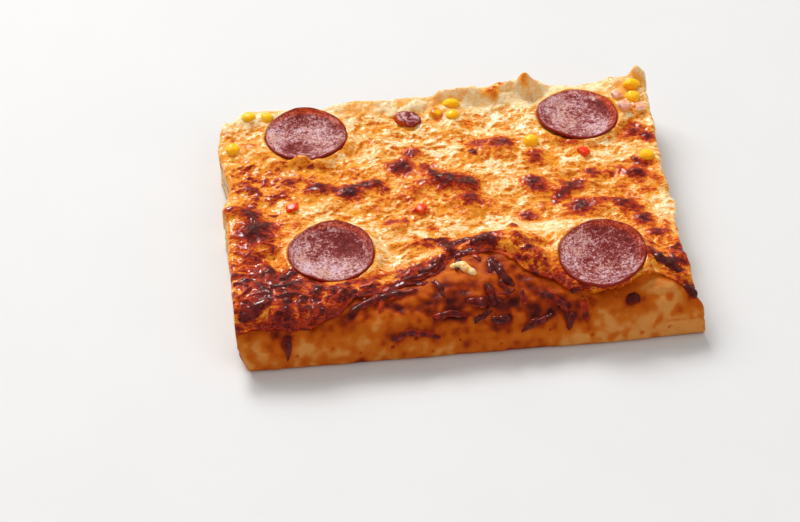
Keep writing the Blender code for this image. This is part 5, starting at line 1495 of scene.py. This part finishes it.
class PizzaSizes(bpy.types.PropertyGroup):
    """Sizes of the fine surfaces."""

    bread_step: FloatProperty(name="Bread step", description="Spacing of the bread's surface",
                              default=0.00084, min=0.0007, max=0.005, unit="LENGTH")
    cheese_step: FloatProperty(name="Cheese step", description="Spacing of the cheese's surface",
                               default=0.00066, min=0.00062, max=0.005, unit="LENGTH")
    cheese_relief: FloatProperty(name="Cheese relief", description="Height of the fine relief",
                                 default=0.001, min=0.0, max=0.002, unit="LENGTH")


def colour(name, description, default):
    """A colour setting."""
    return FloatVectorProperty(name=name, description=description, default=default,
                               subtype="COLOR", size=3, min=0.0, max=1.0)


class PizzaColours(bpy.types.PropertyGroup):
    """Colours of the slice, as linear light."""

    cheese_cream: colour("Cream", "Palest cheese", (1.0, 0.83, 0.56))
    cheese_pale: colour("Pale cheese", "Cheese with no browning", (0.98, 0.68, 0.33))
    cheese_golden: colour("Golden cheese", "Lightly baked cheese", (0.92, 0.41, 0.06))
    cheese_toasted: colour("Toasted cheese", "Golden turning to amber", (0.82, 0.25, 0.01))
    cheese_amber: colour("Amber cheese", "Well baked cheese", (0.67, 0.115, 0.003))
    cheese_red: colour("Red amber", "Cheese round a burnt top", (0.5, 0.038, 0.001))
    cheese_brown: colour("Brown cheese", "Browned cheese", (0.3, 0.014, 0.002))
    cheese_burnt: colour("Burnt cheese", "Tops of the blisters", (0.115, 0.006, 0.004))
    # Painted sheen: pale lilac speckle on the burnt tops, standing in for their shine
    cheese_sheen_speckle: colour("Ash", "Dull bloom on the burnt tops", (0.36, 0.18, 0.19))
    cheese_pool: colour("Oil pools", "Clear golden pools", (0.9, 0.34, 0.01))
    bread_floury: colour("Floury bread", "Palest skin", (0.6, 0.24, 0.055))
    bread_tan: colour("Tan bread", "Skin near the foot", (0.52, 0.122, 0.008))
    bread_golden: colour("Golden bread", "Skin of the rim", (0.46, 0.08, 0.003))
    bread_brown: colour("Brown bread", "Top of the rim", (0.27, 0.026, 0.001))
    bread_dark: colour("Dark bread", "Bread under burnt shreds", (0.085, 0.006, 0.003))
    crumb: colour("Crumb", "Open crumb of the cut sides", (0.86, 0.59, 0.31))
    meat: colour("Pepperoni", "Lean of the pepperoni", (0.22, 0.016, 0.013))
    fat: colour("Pepperoni fat", "Fat of the pepperoni", (0.55, 0.24, 0.24))
    # Painted sheen in part: the palest face colours are lilac and tan
    film_and_sheen: colour("Pepperoni film", "Palest dried fat of the face", (0.7, 0.52, 0.61))
    tan_film_and_sheen: colour("Tan film", "Browner dried fat of the face", (0.66, 0.4, 0.31))
    slice_edge: colour("Pepperoni edge", "Browned edge of a slice", (0.26, 0.014, 0.006))
    # Partly painted light: glow of light through the thin curled edge, over its oil
    slice_oil_glow: colour("Pepperoni glow", "Oily inside of a curled edge", (0.72, 0.09, 0.01))
    corn: colour("Corn", "Kernel skin", (1.0, 0.47, 0.002))
    corn_light: colour("Light corn", "Lighter kernel skin", (1.0, 0.6, 0.01))
    corn_deep: colour("Deep corn", "Kernel skin turned from the light", (1.0, 0.34, 0.001))
    ham: colour("Ham", "Lean ham", (0.92, 0.36, 0.22))
    ham_fat: colour("Ham fat", "Pale parts of the ham", (0.96, 0.68, 0.58))
    pepper: colour("Red pepper", "Pepper skin", (0.78, 0.014, 0.002))
    pepper_flesh: colour("Pepper flesh", "Cut pepper", (0.8, 0.08, 0.002))
    sauce: colour("Sauce", "Tomato sauce", (0.4, 0.06, 0.012))
    table: colour("Table", "Pale table top", (0.68, 0.69, 0.71))


class PizzaStage(bpy.types.PropertyGroup):
    """Light and lens."""

    window_power: FloatProperty(name="Window", description="Soft light from behind on the left",
                                default=205.0, min=0.0, unit="POWER")
    pane_power: FloatProperty(name="Window pane", description="Small light seen in the shine",
                              default=125.0, min=0.0, unit="POWER")
    fill_power: FloatProperty(name="Fill", description="Light from the front",
                              default=20.0, min=0.0, unit="POWER")
    room_strength: FloatProperty(name="Room", description="Light from all sides",
                                 default=0.4, min=0.0)
    lens: FloatProperty(name="Lens", description="Focal length of the camera",
                        default=112.5, min=1.0, unit="CAMERA")


class BuildBread(bpy.types.Operator):
    """Build the baked bread"""

    bl_idname = "pizza.build_bread"
    bl_label = "Bread"

    def execute(self, context):
        build_bread(context.scene.pizza_sizes, context.scene.pizza_colours)
        return {"FINISHED"}


class BuildCheese(bpy.types.Operator):
    """Build the melted cheese"""

    bl_idname = "pizza.build_cheese"
    bl_label = "Cheese"

    def execute(self, context):
        build_cheese(context.scene.pizza_sizes, context.scene.pizza_colours)
        return {"FINISHED"}


class BuildShreds(bpy.types.Operator):
    """Build the baked shreds on the rim and the cheese"""

    bl_idname = "pizza.build_shreds"
    bl_label = "Baked shreds"

    def execute(self, context):
        build_shreds(context.scene.pizza_colours)
        return {"FINISHED"}


class FinishSauce(bpy.types.Operator):
    """Give the sauce layer its material"""

    bl_idname = "pizza.finish_sauce"
    bl_label = "Sauce"

    def execute(self, context):
        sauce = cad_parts["sauce"]
        sauce.data.materials.clear()
        sauce.data.materials.append(sauce_material(context.scene.pizza_colours))
        return {"FINISHED"}


class BuildPepperoni(bpy.types.Operator):
    """Build the four slices of pepperoni"""

    bl_idname = "pizza.build_pepperoni"
    bl_label = "Pepperoni"

    def execute(self, context):
        for number, row in enumerate(SLICES):
            build_slice(context.scene.pizza_colours, number, *row)
        return {"FINISHED"}


class BuildCorn(bpy.types.Operator):
    """Build the corn kernels"""

    bl_idname = "pizza.build_corn"
    bl_label = "Corn"

    def execute(self, context):
        build_kernels(context.scene.pizza_colours)
        return {"FINISHED"}


class BuildHam(bpy.types.Operator):
    """Build the ham cubes"""

    bl_idname = "pizza.build_ham"
    bl_label = "Ham"

    def execute(self, context):
        material = ham_material(context.scene.pizza_colours)
        for number, (x, y, turn, edge, lift) in enumerate(HAM, 1):
            build_block(f"ham_cube_{number}_meat", f"ham_cube_{number}", x, y, turn,
                        (edge, edge, edge), lift, 0.2, material, 3.0 * number)
        return {"FINISHED"}


class BuildPeppers(bpy.types.Operator):
    """Build the red pepper dice"""

    bl_idname = "pizza.build_peppers"
    bl_label = "Red pepper"

    def execute(self, context):
        material = pepper_material(context.scene.pizza_colours)
        for number, (x, y, turn, lift) in enumerate(PEPPERS, 1):
            build_block(f"red_pepper_dice_{number}_skin", f"red_pepper_dice_{number}", x, y,
                        turn, PEPPER, lift, 0.4, material, 5.0 * number)
        return {"FINISHED"}


class BuildChip(bpy.types.Operator):
    """Build the browned chip of sausage"""

    bl_idname = "pizza.build_chip"
    bl_label = "Sausage chip"

    def execute(self, context):
        build_chip(context.scene.pizza_colours)
        return {"FINISHED"}


class BuildStage(bpy.types.Operator):
    """Build the table, the lights and the camera"""

    bl_idname = "pizza.build_stage"
    bl_label = "Stage"

    def execute(self, context):
        build_stage(context.scene.pizza_stage, context.scene.pizza_colours)
        return {"FINISHED"}


def area_light(name, place, size, power, tint, mirrored):
    """A soft square light aimed at the slice, which shows in its shine only where mirrored."""
    data = bpy.data.lights.new(name, "AREA")
    data.shape = "RECTANGLE"
    data.size, data.size_y = size
    data.energy = power
    data.color = tint
    lamp = bpy.data.objects.new(name, data)
    lamp.location = place
    lamp.rotation_euler = (-Vector(place)).to_track_quat("-Z", "Y").to_euler()
    lamp.visible_glossy = mirrored
    bpy.context.collection.objects.link(lamp)


def build_stage(stage, colours):
    """Pale table, soft daylight from behind on the left, and the camera."""
    body = bmesh.new()
    bmesh.ops.create_grid(body, x_segments=8, y_segments=8, size=TABLE_HALF)
    bmesh.ops.translate(body, vec=(0.0, 0.0, -TABLE_DROP), verts=body.verts)
    mesh = bpy.data.meshes.new("table_top")
    body.to_mesh(mesh)
    body.free()
    mesh.materials.append(floor_material(colours))
    floor = bpy.data.objects.new("table_top", mesh)
    bpy.context.collection.objects.link(floor)
    for name, place, size, power, tint, mirrored in LIGHTS:
        area_light(name, place, size, getattr(stage, power), tint, mirrored)
    world = bpy.data.worlds.new("soft_room")
    world.use_nodes = True
    world.node_tree.nodes["Background"].inputs["Color"].default_value = ROOM_TINT
    world.node_tree.nodes["Background"].inputs["Strength"].default_value = stage.room_strength
    bpy.context.scene.world = world
    bpy.context.scene.view_settings.view_transform = "Standard"
    data = bpy.data.cameras.new("camera")
    data.lens = stage.lens
    data.sensor_width = SENSOR_WIDTH
    camera = bpy.data.objects.new("camera", data)
    camera.location = CAMERA_PLACE
    camera.rotation_euler = (math.radians(CAMERA_TILT), 0.0, math.radians(CAMERA_TURN))
    bpy.context.collection.objects.link(camera)
    bpy.context.scene.camera = camera


class PizzaPanel(bpy.types.Panel):
    """Builds the slice piece by piece"""

    bl_idname = "VIEW3D_PT_pizza"
    bl_label = "Pizza slice"
    bl_space_type = "VIEW_3D"
    bl_region_type = "UI"
    bl_category = "Pizza"

    def draw(self, context):
        scene = context.scene
        for group in (scene.pizza_sizes, scene.pizza_colours, scene.pizza_stage):
            for key in group.__annotations__:
                self.layout.prop(group, key)
        for operator in OPERATORS:
            self.layout.operator(operator.bl_idname)


OPERATORS = (BuildBread, FinishSauce, BuildCheese, BuildShreds, BuildPepperoni, BuildCorn,
             BuildHam, BuildPeppers, BuildChip, BuildStage)
CLASSES = (PizzaSizes, PizzaColours, PizzaStage, *OPERATORS, PizzaPanel)


def register():
    """Register the classes and hang the settings on the scene."""
    for item in CLASSES:
        bpy.utils.register_class(item)
    bpy.types.Scene.pizza_sizes = PointerProperty(type=PizzaSizes)
    bpy.types.Scene.pizza_colours = PointerProperty(type=PizzaColours)
    bpy.types.Scene.pizza_stage = PointerProperty(type=PizzaStage)


def unregister():
    """Take the settings and the classes away again."""
    del bpy.types.Scene.pizza_stage
    del bpy.types.Scene.pizza_colours
    del bpy.types.Scene.pizza_sizes
    for item in reversed(CLASSES):
        bpy.utils.unregister_class(item)


def main():
    """Build every piece in order."""
    register()
    bpy.ops.pizza.build_bread()
    bpy.ops.pizza.finish_sauce()
    bpy.ops.pizza.build_cheese()
    bpy.ops.pizza.build_shreds()
    bpy.ops.pizza.build_pepperoni()
    bpy.ops.pizza.build_corn()
    bpy.ops.pizza.build_ham()
    bpy.ops.pizza.build_peppers()
    bpy.ops.pizza.build_chip()
    bpy.ops.pizza.build_stage()


if __name__ == "__main__":
    main()
